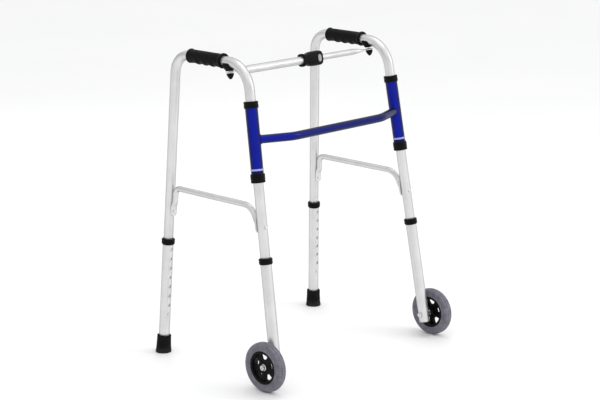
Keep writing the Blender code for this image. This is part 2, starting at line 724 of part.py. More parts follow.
def main():
    clear_scene()
    looks = {
        "silver": material("silver_aluminium", (0.78, 0.78, 0.79), 0.38, 0.9),
        "blue": material("blue_paint", (0.006, 0.030, 0.42), 0.30, 0.55),
        "black": material("black_plastic", (0.012, 0.012, 0.014), 0.45, 0.0),
        "grip": material("black_grip", (0.015, 0.015, 0.017), 0.60, 0.0),
        "rubber": material("black_rubber", (0.016, 0.016, 0.017), 0.80, 0.0),
        "tyre": material("grey_tyre", (0.165, 0.155, 0.195), 0.65, 0.0),
        "steel": material("bright_steel", (0.62, 0.62, 0.63), 0.28, 1.0),
        "brass": material("bush_bronze", (0.55, 0.40, 0.20), 0.40, 1.0),
    }
    for side in (LEFT, RIGHT):
        build_sleeve(side, looks)
    build_crossbar(looks)

    for side in (LEFT, RIGHT):
        label = SIDE_NAMES[side]
        fold = joint_empty(f"{label}_fold_axis", leg_frame(front_point, side, SLEEVE_Z[0]))
        side_pieces = build_side_frame(side, looks)

        rear_slide = joint_empty(f"rear_leg_slide_{label}", leg_frame(rear_point, side, REAR_LEG_Z[1]))
        attach(build_rear_leg(side, looks), rear_slide)
        front_slide = joint_empty(f"front_leg_slide_{label}", leg_frame(front_point, side, FRONT_LEG_Z[1]))
        attach(build_front_leg(side, looks), front_slide)
        axle = joint_empty(f"wheel_axle_{label}", axle_frame(side, WHEEL_OUT))
        attach(build_wheel(side, looks), axle)
        attach([axle], front_slide)

        buttons = [build_snap_button(f"snap_button_{end}_{label}", leg_point, side, z, towards, looks)
                   for end, leg_point, z, towards in (("rear", rear_point, REAR_HOLE_Z, 1),
                                                      ("front", front_point, FRONT_HOLE_Z, -1))]
        attach(side_pieces + buttons + [rear_slide, front_slide], fold)

        if side == RIGHT:
            outer = joint_empty("stay_swing", frame_on(stay_pivot(side), fold_axis(side), FORWARD))
            stay = [build_stay_tube("stay_outer_tube", side, STAY_OUTER_END_X, STAY_OUTER_R, STAY_BORE_R,
                                    0.080, looks), build_housing(looks), build_lock_button(looks)]
            attach(stay + build_pin(side, looks), outer)
        else:
            inner = joint_empty("stay_slide", stay_frame(STAY_INNER_END_X))
            stay = [build_stay_tube("stay_inner_tube", side, STAY_INNER_END_X, STAY_INNER_R, 0.0066,
                                    0.080, looks), build_bush(looks)]
            attach(stay + build_pin(side, looks), inner)


main()
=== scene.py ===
"""Looks of the folding walking frame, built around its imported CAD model.

Places come from the frame: the joints' axes are the centre lines of the tubes, and the reach of a CAD node
along such a line gives the ends of the piece that stands for it. Metres, +Z up, the user walks towards -Y.
Meshes are made in place, so object coordinates are metres of the resting frame in every material.
"""

import json
import math

import bmesh
import bpy
from mathutils import Matrix, Vector


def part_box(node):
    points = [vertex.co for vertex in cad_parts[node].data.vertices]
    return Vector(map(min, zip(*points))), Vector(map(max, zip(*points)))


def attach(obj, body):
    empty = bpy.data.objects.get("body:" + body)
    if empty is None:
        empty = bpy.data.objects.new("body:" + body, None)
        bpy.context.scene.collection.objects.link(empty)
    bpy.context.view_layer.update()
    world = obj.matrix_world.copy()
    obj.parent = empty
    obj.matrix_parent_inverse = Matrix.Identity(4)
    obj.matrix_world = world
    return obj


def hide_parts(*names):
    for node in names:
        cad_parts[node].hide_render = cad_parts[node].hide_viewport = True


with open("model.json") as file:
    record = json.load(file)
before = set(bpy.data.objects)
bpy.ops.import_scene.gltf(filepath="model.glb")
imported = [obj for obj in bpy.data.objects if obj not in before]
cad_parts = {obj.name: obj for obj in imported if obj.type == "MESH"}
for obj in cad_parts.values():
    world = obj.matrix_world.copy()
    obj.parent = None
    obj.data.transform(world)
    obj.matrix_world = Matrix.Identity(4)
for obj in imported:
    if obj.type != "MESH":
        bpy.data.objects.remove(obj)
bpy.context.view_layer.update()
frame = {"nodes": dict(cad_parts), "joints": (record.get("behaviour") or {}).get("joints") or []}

# ---- sizes -----------------------------------------------------------------------------------------
TUBE_R = 0.0127
TUBE_WALL = 0.0014
LEG_WALL = 0.0012
HOLE_PITCH = 0.0254
HOLE_R = 0.0042
HOLE_LIP = 0.00045          # rounding of a height hole's edge
FRONT_BEND_R = 0.075
REAR_BEND_R = 0.050
CROSSBAR_WALL = 0.0016
BRACE_R = 0.0075
BRACE_FLAT = 0.0030         # half thickness of the brace's flattened ends
STAY_OUTER_R = 0.0105
STAY_BORE_R = 0.0093
STAY_INNER_R = 0.0080
STAY_INNER_BORE_R = 0.0066
STAY_OUTER_END_X = 0.036
STAY_INNER_END_X = -0.012
EYE_R = 0.0110
EYE_HALF_T = 0.0016
PIN_R = 0.0030
BOLT_R = 0.0040
EDGE = 0.0004               # rounding of a cut tube's edges
CLEAR = 0.0003              # between pieces that touch
HAIR = 0.0001               # keeps a face out of one that it would lie in
FLOAT_SLACK = 0.00001       # keeps a rounded number inside the CAD's size

ROUND = 56                  # sides of a round tube
FORWARD = Vector((0.0, -1.0, 0.0))
ALONG_X = Vector((1.0, 0.0, 0.0))
UP = Vector((0.0, 0.0, 1.0))
SIGNS = {"left": 1.0, "right": -1.0}
JOINTS = {joint["name"]: joint for joint in frame["joints"]}


# ---- places, read from the frame -------------------------------------------------------------------
class Line:
    """A straight centre line: a point on it and the way it runs."""

    def __init__(self, point, way):
        self.point = Vector(point)
        self.way = Vector(way).normalized()

    def at(self, distance):
        return self.point + self.way * distance

    def at_height(self, z):
        return self.at((z - self.point.z) / self.way.z)

    def across(self, facing):
        """The direction square to the line that is nearest to facing."""
        return (facing - self.way * facing.dot(self.way)).normalized()

    def frame(self, facing, distance=0.0):
        """Local Z along the line, local X towards facing, at a distance from the line's point."""
        x = self.across(facing)
        turn = Matrix((x, self.way.cross(x), self.way)).transposed().to_4x4()
        return Matrix.Translation(self.at(distance)) @ turn

    def reach(self, node):
        """How far a CAD node reaches along the line: its lowest and its highest distance."""
        distances = [(v.co - self.point).dot(self.way) for v in frame["nodes"][node].data.vertices]
        return min(distances), max(distances)

    def ends(self, node, way):
        """A CAD node's near and far end, going along the line (way 1) or back along it (way -1)."""
        low, high = self.reach(node)
        return (low, high) if way > 0.0 else (high, low)

    def girth(self, node):
        """The largest distance of a CAD node from the line."""
        offsets = [v.co - self.point for v in frame["nodes"][node].data.vertices]
        return max((o - self.way * o.dot(self.way)).length for o in offsets)


def centre(node):
    low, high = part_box(node)
    return (low + high) / 2.0


class Side:
    """The centre lines and corners of one side frame."""

    def __init__(self, name):
        self.name = name
        self.sign = SIGNS[name]
        fold = JOINTS[f"{name}_fold"]
        self.front = Line(fold["pos_m"], Vector(fold["axis"]) * self.sign)
        rear_way = -Vector(JOINTS[f"rear_leg_slide_{name}"]["axis"])
        self.rear = Line(centre(f"rear_leg_{name}"), rear_way)
        self.normal = Vector((0.0, 1.0, 0.0)).cross(self.front.way).normalized()
        tube_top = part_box(f"side_tube_{name}")[1].z
        self.handle_z = tube_top - TUBE_R * abs(self.normal.x)
        self.front_corner = self.front.at_height(self.handle_z)
        self.rear_corner = self.rear.at_height(self.handle_z)
        self.handle = Line(self.front_corner, Vector((0.0, 1.0, 0.0)))
        axle = Vector(JOINTS[f"{name}_wheel_spin"]["pos_m"])
        self.axle = Line(axle, ALONG_X * self.sign)
        pivot = Vector(JOINTS["stay_pivot_turn"]["pos_m"])
        self.pivot = Vector((abs(pivot.x) * self.sign, pivot.y, pivot.z))
        self.pin = Line(self.pivot, self.front.way)

    def tube_path(self):
        """The centre line of the bent tube, from the rear end over the handle to the front end."""
        node = f"side_tube_{self.name}"
        rear_end = self.rear.at(self.rear.reach(node)[0])
        front_end = self.front.at(self.front.reach(node)[0])
        corners = [rear_end, self.rear_corner, self.front_corner, front_end]
        return filleted(corners, [REAR_BEND_R, FRONT_BEND_R], 18)


# ---- outlines --------------------------------------------------------------------------------------
def filleted(corners, radii, steps):
    """A path through the corners, each inner corner rounded to its radius with an arc of steps pieces."""
    path = [corners[0]]
    for before, corner, after, radius in zip(corners, corners[1:], corners[2:], radii):
        back = (before - corner).normalized()
        ahead = (after - corner).normalized()
        half = back.angle(ahead) / 2.0
        middle = (back + ahead).normalized()
        hub = corner + middle * (radius / math.sin(half))
        start = corner + back * (radius / math.tan(half)) - hub
        spin = start.cross(ahead).normalized()
        for k in range(steps + 1):
            turn = Matrix.Rotation((math.pi - 2.0 * half) * k / steps, 3, spin)
            path.append(hub + turn @ start)
    path.append(corners[-1])
    return path


def rounded(corners, steps=4, closed=True):
    """A flat outline from corners (x, y) and (x, y, fillet), where a fillet is the radius of an arc."""
    outline = []
    count = len(corners)
    for i, (x, y, *fillet) in enumerate(corners):
        here = Vector((x, y, 0.0))
        back = Vector((*corners[i - 1][:2], 0.0)) - here
        ahead = Vector((*corners[(i + 1) % count][:2], 0.0)) - here
        is_end = not closed and i in (0, count - 1)
        if not any(fillet) or is_end or back.angle(ahead) > math.radians(178):
            outline.append((x, y))
            continue
        half = back.angle(ahead) / 2.0
        reach = min(fillet[0] / math.tan(half), 0.49 * min(back.length, ahead.length))
        hub = here + (back.normalized() + ahead.normalized()).normalized() * (reach / math.cos(half))
        start = here + back.normalized() * reach - hub
        spin = start.cross(ahead).normalized()
        for k in range(steps + 1):
            point = hub + Matrix.Rotation((math.pi - 2.0 * half) * k / steps, 3, spin) @ start
            outline.append((point.x, point.y))
    return outline


def smooth_step(value):
    t = min(max(value, 0.0), 1.0)
    return t * t * (3.0 - 2.0 * t)


def spread(low, high, count):
    return [low + (high - low) * k / (count - 1) for k in range(count)]


def section(point, across, up, half_across, half_up, squareness=2.0, segments=ROUND):
    """A rounded section: an ellipse at squareness 2, squarer above it."""
    ring = []
    for k in range(segments):
        c, s = math.cos(2.0 * math.pi * k / segments), math.sin(2.0 * math.pi * k / segments)
        u = math.copysign(abs(c) ** (2.0 / squareness), c) * half_across
        v = math.copysign(abs(s) ** (2.0 / squareness), s) * half_up
        ring.append(point + across * u + up * v)
    return ring


def path_frames(path, normal):
    """Each point of a flat path with the direction across it, square to the path's normal."""
    frames = []
    for i, point in enumerate(path):
        behind = path[max(i - 1, 0)]
        ahead = path[min(i + 1, len(path) - 1)]
        tangent = (point - behind).normalized() + (ahead - point).normalized()
        frames.append((point, normal.cross(tangent).normalized()))
    return frames


# ---- meshes ----------------------------------------------------------------------------------------
def dress(mesh, look, sharp):
    """Gives a mesh its material and smooth shading, with hard edges above an angle in degrees."""
    mesh.materials.clear()
    mesh.materials.append(look)
    mesh.shade_smooth()
    mesh.set_sharp_from_angle(angle=math.radians(sharp))


class Surface:
    """A mesh being built, with a place on the surface in metres, around and along, for each vertex."""

    def __init__(self, period):
        self.bm = bmesh.new()
        self.period = period
        self.place = {}

    def vertex(self, point, around, along):
        made = self.bm.verts.new(point)
        self.place[made] = (around, along)
        return made

    def face(self, *corners):
        self.bm.faces.new(corners)

    def bridge(self, first, second):
        """Faces between two closed rings, of which one may be a single pole."""
        if len(first) == 1 or len(second) == 1:
            pole, ring = (first[0], second) if len(first) == 1 else (second[0], first)
            for k in range(len(ring)):
                self.face(pole, ring[k], ring[(k + 1) % len(ring)])
            return
        for k in range(len(first)):
            after = (k + 1) % len(first)
            self.face(first[k], first[after], second[after], second[k])

    def finish(self, name, look, sharp=50.0):
        bmesh.ops.recalc_face_normals(self.bm, faces=self.bm.faces)
        layer = self.bm.loops.layers.uv.new("Surface")
        for face in self.bm.faces:
            known = [self.place[v][0] for v in face.verts if self.place[v][0] is not None]
            wraps = max(known) - min(known) > self.period / 2.0
            if wraps:
                known = [u + self.period if u < self.period / 2.0 else u for u in known]
            for loop in face.loops:
                around, along = self.place[loop.vert]
                if around is None:
                    around = sum(known) / len(known)
                elif wraps and around < self.period / 2.0:
                    around += self.period
                loop[layer].uv = (around, along)
        mesh = bpy.data.meshes.new(name)
        self.bm.to_mesh(mesh)
        self.bm.free()
        dress(mesh, look, sharp)
        piece = bpy.data.objects.new(name, mesh)
        bpy.context.scene.collection.objects.link(piece)
        return piece


def loft(name, rings, look, closed=False, sharp=50.0):
    """A skin over rings of points. A ring of one point is a pole, and an open end is capped flat."""
    widest = max(rings, key=lambda ring: sum((a - b).length for a, b in zip(ring, ring[1:])))
    period = sum((a - b).length for a, b in zip(widest, widest[1:] + widest[:1]))
    skin = Surface(period)
    made = []
    along = 0.0
    for i, ring in enumerate(rings):
        if i:
            along += (ring[0] - rings[i - 1][0]).length
        if len(ring) == 1:
            made.append([skin.vertex(ring[0], None, along)])
        else:
            made.append([skin.vertex(p, period * k / len(ring), along) for k, p in enumerate(ring)])
    for first, second in zip(made, made[1:]):
        skin.bridge(first, second)
    if closed:
        skin.bridge(made[-1], made[0])
    else:
        for end in (made[0], made[-1]):
            if len(end) > 1:
                skin.face(*end)
    return skin.finish(name, look, sharp)


def turned(name, profile, place, look, segments=64, shape=None, sharp=50.0):
    """A turned piece about the local Z of place. Profile points are (radius, height).

    A profile that starts and ends at radius 0 is solid, and any other one closes into a ring. shape may
    change a point's radius: it is called with the radius, the height and the angle.
    """
    rings = []
    for radius, height in profile:
        if radius == 0.0:
            rings.append([place @ Vector((0.0, 0.0, height))])
            continue
        ring = []
        for k in range(segments):
            angle = 2.0 * math.pi * k / segments
            r = shape(radius, height, angle) if shape else radius
            ring.append(place @ Vector((r * math.cos(angle), r * math.sin(angle), height)))
        rings.append(ring)
    solid = len(rings[0]) == 1 and len(rings[-1]) == 1
    return loft(name, rings, look, closed=not solid, sharp=sharp)


def tube(name, path, normal, radius, wall, look):
    """A bent tube with rounded edges at its two open ends."""
    outer, inner = [], []
    frames = path_frames(path, normal)
    for i, (point, across) in enumerate(frames):
        inner.append(section(point, across, normal, radius - wall, radius - wall))
        outer.append(section(point, across, normal, radius, radius))
        if i in (0, len(frames) - 1):
            into = (path[1] - path[0]) if i == 0 else (path[-2] - path[-1])
            lip = section(point, across, normal, radius - EDGE, radius - EDGE)
            set_back = section(point + into.normalized() * EDGE, across, normal, radius, radius)
            outer[-1:] = [lip, set_back] if i == 0 else [set_back, lip]
    return loft(name, outer + inner[::-1], look, closed=True)


def carve(piece, tool, operation="DIFFERENCE", sharp=40.0):
    """Cuts tool out of a piece, or joins it on, for good, and removes the tool."""
    step = piece.modifiers.new("carve", "BOOLEAN")
    step.operation = operation
    step.solver = "EXACT"
    step.object = tool
    bpy.context.view_layer.update()
    cut = piece.evaluated_get(bpy.context.evaluated_depsgraph_get())
    mesh = bpy.data.meshes.new_from_object(cut)
    piece.modifiers.clear()
    dress(mesh, piece.data.materials[0], sharp)
    mesh.polygons.foreach_set("material_index", [0] * len(mesh.polygons))
    piece.data = mesh
    bpy.data.objects.remove(tool, do_unlink=True)


def soften(piece, width):
    """Rounds a piece's hard edges."""
    step = piece.modifiers.new("soften", "BEVEL")
    step.width = width
    step.segments = 2
    step.limit_method = "ANGLE"
    step.angle_limit = math.radians(40.0)
    step.harden_normals = True


class Drill:
    """A straight tube's skin, made as a fine grid in which round holes with rounded edges are left open."""

    HALF = 4                # grid steps from a hole's centre to the edge of its patch

    def __init__(self, line, facing, ends, radius, wall):
        self.place = line.frame(facing)
        self.radii = (radius, radius - wall)
        self.step = 2.0 * math.pi * radius / ROUND
        self.low, self.high = ends
        self.skin = Surface(2.0 * math.pi * radius)
        self.holes = []     # (column, distance along, hole radius)

    def point(self, sideways, along, radius, turn):
        """A point of the wall by its distance sideways of the direction at angle turn."""
        outward = math.sqrt(radius ** 2 - sideways ** 2)
        c, s = math.cos(turn), math.sin(turn)
        return self.place @ Vector((outward * c - sideways * s, outward * s + sideways * c, along))

    def grid(self, rows, radius, lip):
        """Rings of the tube at the rows, without the vertices that lie inside a hole's patch."""
        made = []
        for i, along in enumerate(rows):
            at_end = i in (0, len(rows) - 1)
            r = radius - lip if at_end else radius
            ring = {}
            for column in range(ROUND):
                if self.inside(column, i, rows):
                    continue
                turn = 2.0 * math.pi * column / ROUND
                ring[column] = self.skin.vertex(self.point(0.0, along, r, turn), column * self.step, along)
            made.append(ring)
        return made

    def offset(self, column, hole):
        return (column - hole[0] + ROUND // 2) % ROUND - ROUND // 2

    def inside(self, column, row, rows):
        return any(abs(self.offset(column, hole)) < self.HALF
                   and abs(rows[row] - hole[1]) < (self.HALF - 0.5) * self.step for hole in self.holes)

    def covers(self, column, row, rows):
        """True if the grid cell that starts at this column and row belongs to a hole's patch."""
        middle = (rows[row] + rows[row + 1]) / 2.0
        return any(-self.HALF <= self.offset(column, hole) < self.HALF
                   and abs(middle - hole[1]) < self.HALF * self.step for hole in self.holes)

    def edge_loop(self, rings, rows, hole):
        """The grid's vertices around a hole's patch, in turn, starting at its lower right corner."""
        first = min(range(len(rows)), key=lambda i: abs(rows[i] - (hole[1] - self.HALF * self.step)))
        last = first + 2 * self.HALF
        left, right = hole[0] - self.HALF, hole[0] + self.HALF
        cells = [(right, row) for row in range(first, last)]
        cells += [(column, last) for column in range(right, left, -1)]
        cells += [(left, row) for row in range(last, first, -1)]
        cells += [(column, first) for column in range(left, right)]
        return [rings[row][column % ROUND] for column, row in cells]

    def circle(self, hole, radius, surface, sink):
        """A ring of vertices at a radius around a hole, sunk below a surface of the tube."""
        column, along, _ = hole
        turn = 2.0 * math.pi * column / ROUND
        count = 8 * self.HALF
        ring = []
        for k in range(count):
            angle = 2.0 * math.pi * k / count - math.pi / 4.0
            x, y = radius * math.cos(angle), radius * math.sin(angle)
            point = self.point(x, along + y, surface, turn)
            inward = self.place.to_3x3() @ Vector((math.cos(turn), math.sin(turn), 0.0))
            ring.append(self.skin.vertex(point - inward * sink, column * self.step + x, along + y))
        return ring

    def build(self, name, look):
        rows = {self.low, self.low + EDGE, self.high - EDGE, self.high}
        for _, along, _ in self.holes:
            rows |= {along + k * self.step for k in range(-self.HALF, self.HALF + 1)}
        rows = sorted(rows)
        outer = self.grid(rows, self.radii[0], EDGE)
        inner = self.grid(rows, self.radii[1], 0.0)
        for rings in (outer, inner):
            for i in range(len(rows) - 1):
                for column in range(ROUND):
                    if not self.covers(column, i, rows):
                        after = (column + 1) % ROUND
                        self.skin.face(rings[i][column], rings[i][after],
                                       rings[i + 1][after], rings[i + 1][column])
        for end in (0, -1):
            self.skin.bridge(list(outer[end].values()), list(inner[end].values()))
        for hole in self.holes:
            loops = [self.edge_loop(outer, rows, hole)]
            for angle in (0.0, 30.0, 60.0, 90.0):
                out = HOLE_LIP * (1.0 - math.sin(math.radians(angle)))
                sink = HOLE_LIP * (1.0 - math.cos(math.radians(angle)))
                loops.append(self.circle(hole, hole[2] + out, self.radii[0], sink))
            loops.append(self.circle(hole, hole[2], self.radii[1], 0.0))
            loops.append(self.edge_loop(inner, rows, hole))
            for first, second in zip(loops, loops[1:]):
                self.skin.bridge(first, second)
        return self.skin.finish(name, look)


# ---- materials -------------------------------------------------------------------------------------
class Look:
    """A material under construction: its Principled shader and short calls for the nodes behind it."""

    def __init__(self, name, colour, **constants):
        self.material = bpy.data.materials.new(name)
        self.material.use_nodes = True
        self.material.diffuse_color = (*colour, 1.0)
        self.tree = self.material.node_tree
        self.shader = self.tree.nodes["Principled BSDF"]
        self.shader.inputs["Base Color"].default_value = (*colour, 1.0)
        for socket, value in constants.items():
            self.shader.inputs[socket.replace("_", " ")].default_value = value

    def node(self, kind, inputs, output, **settings):
        made = self.tree.nodes.new(kind)
        for key, value in settings.items():
            setattr(made, key, value)
        for key, value in inputs.items():
            socket = made.inputs[key]
            if isinstance(value, bpy.types.NodeSocket):
                self.tree.links.new(value, socket)
            else:
                socket.default_value = value
        return made.outputs[output]

    def place(self, stretch=(1.0, 1.0, 1.0)):
        """Object coordinates in metres, stretched."""
        spot = self.node("ShaderNodeTexCoord", {}, "Object")
        return self.node("ShaderNodeMapping", {"Vector": spot, "Scale": stretch}, "Vector")

    def surface(self, stretch=(1.0, 1.0, 1.0)):
        """Coordinates around and along a piece, in metres, stretched."""
        spot = self.node("ShaderNodeUVMap", {}, "UV", uv_map="Surface")
        return self.node("ShaderNodeMapping", {"Vector": spot, "Scale": stretch}, "Vector")

    def noise(self, spot, scale, detail=3.0, roughness=0.5):
        inputs = {"Vector": spot, "Scale": scale, "Detail": detail, "Roughness": roughness}
        return self.node("ShaderNodeTexNoise", inputs, "Fac")

    def cells(self, spot, scale, feature="F1"):
        inputs = {"Vector": spot, "Scale": scale}
        return self.node("ShaderNodeTexVoronoi", inputs, "Distance", feature=feature)

    def span(self, value, low, high, to_low=0.0, to_high=1.0):
        """A value moved from one range to another, clamped."""
        inputs = {"Value": value, "From Min": low, "From Max": high, "To Min": to_low, "To Max": to_high}
        return self.node("ShaderNodeMapRange", inputs, "Result")

    def sum(self, first, second):
        return self.node("ShaderNodeMath", {0: first, 1: second}, "Value", operation="ADD")

    def product(self, first, second):
        return self.node("ShaderNodeMath", {0: first, 1: second}, "Value", operation="MULTIPLY")

    def mix(self, share, first, second):
        inputs = {0: share, 6: (*first, 1.0) if isinstance(first, tuple) else first,
                  7: (*second, 1.0) if isinstance(second, tuple) else second}
        return self.node("ShaderNodeMix", inputs, 2, data_type="RGBA")

    def blotched(self, pattern, first, second, low=0.3, high=0.7):
        """A colour that goes from one to another with a pattern."""
        return self.mix(self.span(pattern, low, high), first, second)

    def covered(self, colour, top, share, mask):
        """A colour under a share of another one where a mask is high."""
        return self.mix(self.product(mask, share), colour, top)

    def painted_outline_shade(self, low, high):
        """Mask for painted shade: 0 where the surface faces the eye, 1 where it turns away."""
        return self.span(self.node("ShaderNodeLayerWeight", {"Blend": 0.5}, "Facing"), low, high)

    def edges(self, low, high):
        """Rises with the surface's convexity, or with its hollowness where low is above high."""
        return self.span(self.node("ShaderNodeNewGeometry", {}, "Pointiness"), low, high)

    def bump(self, height, distance, strength=1.0, under=None):
        inputs = {"Height": height, "Distance": distance, "Strength": strength}
        if under:
            inputs["Normal"] = under
        return self.node("ShaderNodeBump", inputs, "Normal")

    def finish(self, **links):
        for socket, output in links.items():
            self.tree.links.new(output, self.shader.inputs[socket.replace("_", " ")])
        return self.material


def grey(level):
    return (level, level, level)


def anodised_aluminium():
    """Satin tube: fine drawing lines along it, cloudy handling marks, a few rub lines and painted shade at
    its outlines.
    """
    look = Look("anodised_aluminium", (0.80, 0.805, 0.82), Metallic=0.85, Roughness=0.34)
    lines = look.noise(look.surface((1.0, 0.012, 1.0)), 2600.0, 4.0, 0.6)
    clouds = look.noise(look.place(), 22.0, 4.0, 0.55)
    rubs = look.noise(look.surface((1.0, 0.03, 1.0)), 420.0, 2.0, 0.5)
    rub = look.product(look.span(rubs, 0.60, 0.72), look.span(clouds, 0.42, 0.62))
    colour = look.blotched(clouds, (0.665, 0.655, 0.655), (0.755, 0.745, 0.740))
    colour = look.covered(colour, (0.56, 0.555, 0.56), 0.35, rub)
    # painted shade: darker grey towards the tube's outlines, by the angle to the eye
    colour = look.mix(look.painted_outline_shade(0.30, 0.95), colour, (0.30, 0.298, 0.305))
    drawn = look.span(lines, 0.3, 0.7, 0.27, 0.37)
    handled = look.span(clouds, 0.3, 0.7, -0.02, 0.05)
    return look.finish(Base_Color=colour, Roughness=look.sum(drawn, handled),
                       Normal=look.bump(lines, 0.00002, 0.55))


def enamel(name, bright, dull, cloud, edge):
    """Metallic enamel under a clear coat, with fine flakes, a little orange peel and painted shade at its
    outlines.
    """
    look = Look(name, bright, Metallic=0.95, Roughness=0.36, Coat_Weight=0.22, Coat_Roughness=0.14)
    spot = look.place()
    flakes = look.cells(spot, 2600.0)
    depth = look.noise(spot, 30.0, 3.0)
    colour = look.blotched(flakes, bright, dull, 0.10, 0.65)
    colour = look.mix(look.span(depth, 0.35, 0.65, 0.0, 0.30), colour, cloud)
    # painted shade: the colour goes to the edge colour towards the outlines
    colour = look.mix(look.painted_outline_shade(0.03, 0.42), colour, edge)
    return look.finish(Base_Color=colour, Roughness=look.span(flakes, 0.0, 0.7, 0.32, 0.44),
                       Normal=look.bump(look.noise(spot, 420.0, 2.0), 0.00010, 0.15))


def blue_enamel(name, strength):
    """Royal blue enamel, darker where its strength is low. Its last shade is painted shade at the outlines.
    """
    # the last shade is the painted shade at the outlines
    shades = ((0.0010, 0.012, 0.46), (0.0007, 0.007, 0.29), (0.0007, 0.007, 0.26), (0.0005, 0.004, 0.075))
    return enamel(name, *(tuple(channel * strength for channel in shade) for shade in shades))


def lavender_enamel():
    """Pale lavender on the ring near each sleeve's foot, a little cloudy: a painted highlight."""
    look = Look("lavender_enamel", (0.38, 0.40, 0.72), Roughness=0.34, Coat_Weight=0.25,
                Coat_Roughness=0.10)
    spot = look.place()
    clouds = look.noise(spot, 60.0, 4.0, 0.55)
    colour = look.blotched(clouds, (0.33, 0.35, 0.66), (0.44, 0.46, 0.78))
    # painted shade: dark blue towards the ring's outlines
    colour = look.mix(look.painted_outline_shade(0.45, 0.95), colour, (0.060, 0.075, 0.30))
    return look.finish(Base_Color=colour, Roughness=look.span(clouds, 0.3, 0.7, 0.28, 0.42),
                       Normal=look.bump(look.noise(spot, 420.0, 2.0), 0.0001, 0.15))


def moulded_plastic(name, base, rough, grain):
    """Black moulded plastic with a spark-eroded grain, slightly polished and paler on its edges."""
    look = Look(name, (base, base, base * 1.06), Roughness=rough, Specular_IOR_Level=0.08)
    spot = look.place()
    haze = look.noise(spot, 45.0, 4.0, 0.6)
    worn = look.product(look.edges(0.53, 0.62), look.span(haze, 0.35, 0.6))
    colour = look.blotched(haze, grey(base * 0.75), (base * 1.5, base * 1.5, base * 1.6))
    colour = look.covered(colour, (0.020, 0.020, 0.022), 0.5, worn)
    return look.finish(Base_Color=colour, Roughness=look.span(haze, 0.3, 0.7, rough - 0.06, rough + 0.10),
                       Normal=look.bump(look.cells(spot, 1500.0), grain, 0.5))


def grip_vinyl():
    """Soft black grip with a pebbled skin, paler in its hollows."""
    look = Look("grip_vinyl", (0.0036, 0.0034, 0.0036), Roughness=0.56, Specular_IOR_Level=0.10)
    spot = look.place()
    pebbles = look.cells(spot, 950.0, feature="SMOOTH_F1")
    skin = look.noise(spot, 2600.0, 2.0)
    hands = look.noise(spot, 38.0, 3.0)
    colour = look.blotched(hands, (0.0028, 0.0026, 0.0028), (0.0056, 0.0052, 0.0054))
    colour = look.covered(colour, (0.026, 0.025, 0.024), 0.6, look.edges(0.50, 0.44))
    return look.finish(Base_Color=colour, Roughness=look.span(hands, 0.3, 0.7, 0.46, 0.64),
                       Normal=look.bump(skin, 0.00004, 0.3, look.bump(pebbles, 0.00022, 0.55)))


def ferrule_rubber():
    """Dull black rubber, dusty and scuffed towards the floor."""
    look = Look("ferrule_rubber", grey(0.0045), Roughness=0.74, Specular_IOR_Level=0.10)
    spot = look.place()
    height = look.node("ShaderNodeSeparateXYZ", {"Vector": spot}, "Z")
    mottle = look.noise(spot, 120.0, 5.0, 0.65)
    dust = look.product(look.span(height, 0.020, 0.0), look.span(mottle, 0.35, 0.65, 0.3, 1.0))
    colour = look.blotched(mottle, grey(0.0034), (0.0070, 0.0068, 0.0066))
    colour = look.covered(colour, (0.070, 0.067, 0.063), 0.45, dust)
    return look.finish(Base_Color=colour, Roughness=look.span(mottle, 0.3, 0.7, 0.66, 0.84),
                       Normal=look.bump(look.noise(spot, 1700.0, 3.0), 0.00008, 0.6))


def tyre_rubber():
    """Violet-grey moulded tyre with fine speckle and a dusty tread."""
    look = Look("tyre_rubber", (0.135, 0.127, 0.158), Roughness=0.60, Specular_IOR_Level=0.35)
    spot = look.place()
    speckle = look.noise(spot, 900.0, 3.0, 0.7)
    smear = look.noise(spot, 70.0, 4.0, 0.6)
    colour = look.blotched(smear, (0.085, 0.078, 0.106), (0.190, 0.180, 0.218))
    colour = look.mix(look.span(speckle, 0.58, 0.72, 0.0, 0.5), colour, (0.34, 0.33, 0.37))
    colour = look.covered(colour, (0.36, 0.35, 0.38), 0.35, look.edges(0.505, 0.56))
    return look.finish(Base_Color=colour, Roughness=look.span(smear, 0.3, 0.7, 0.50, 0.72),
                       Normal=look.bump(speckle, 0.00010, 0.5))


def plated_steel():
    """Bright zinc plate, slightly uneven in tint, with fine turning lines."""
    look = Look("plated_steel", (0.66, 0.66, 0.67), Metallic=1.0, Roughness=0.26)
    marks = look.noise(look.surface((0.08, 1.0, 1.0)), 5200.0, 3.0)
    colour = look.blotched(look.noise(look.place(), 160.0, 3.0), (0.60, 0.61, 0.64), (0.74, 0.725, 0.69))
    return look.finish(Base_Color=colour, Roughness=look.span(marks, 0.3, 0.7, 0.18, 0.34),
                       Normal=look.bump(marks, 0.00002, 0.5))


def sintered_bronze():
    """Porous brown bronze of the wheels' bushes."""
    look = Look("sintered_bronze", (0.50, 0.34, 0.17), Metallic=1.0, Roughness=0.42)
    pores = look.cells(look.place(), 3200.0)
    colour = look.blotched(pores, (0.32, 0.20, 0.10), (0.58, 0.41, 0.21), 0.1, 0.5)
    return look.finish(Base_Color=colour, Roughness=look.span(pores, 0.0, 0.6, 0.55, 0.36),
                       Normal=look.bump(pores, 0.00005, 0.4))


def grey_button_plastic():
    """Mid-grey moulded plastic of the lock button."""
    look = Look("grey_button_plastic", (0.36, 0.36, 0.37), Roughness=0.38)
    spot = look.place()
    haze = look.noise(spot, 90.0, 4.0)
    colour = look.blotched(haze, (0.30, 0.30, 0.31), (0.40, 0.40, 0.415))
    return look.finish(Base_Color=colour, Roughness=look.span(haze, 0.3, 0.7, 0.32, 0.46),
                       Normal=look.bump(look.cells(spot, 1800.0), 0.00004, 0.5))


def studio_floor():
    """Pale, nearly even backdrop."""
    look = Look("studio_floor", (0.86, 0.86, 0.865), Roughness=0.55)
    spot = look.place()
    colour = look.blotched(look.noise(spot, 1.3, 3.0), (0.925, 0.927, 0.930), (0.945, 0.943, 0.940))
    return look.finish(Base_Color=colour, Normal=look.bump(look.noise(spot, 260.0, 2.0), 0.0002, 0.1))


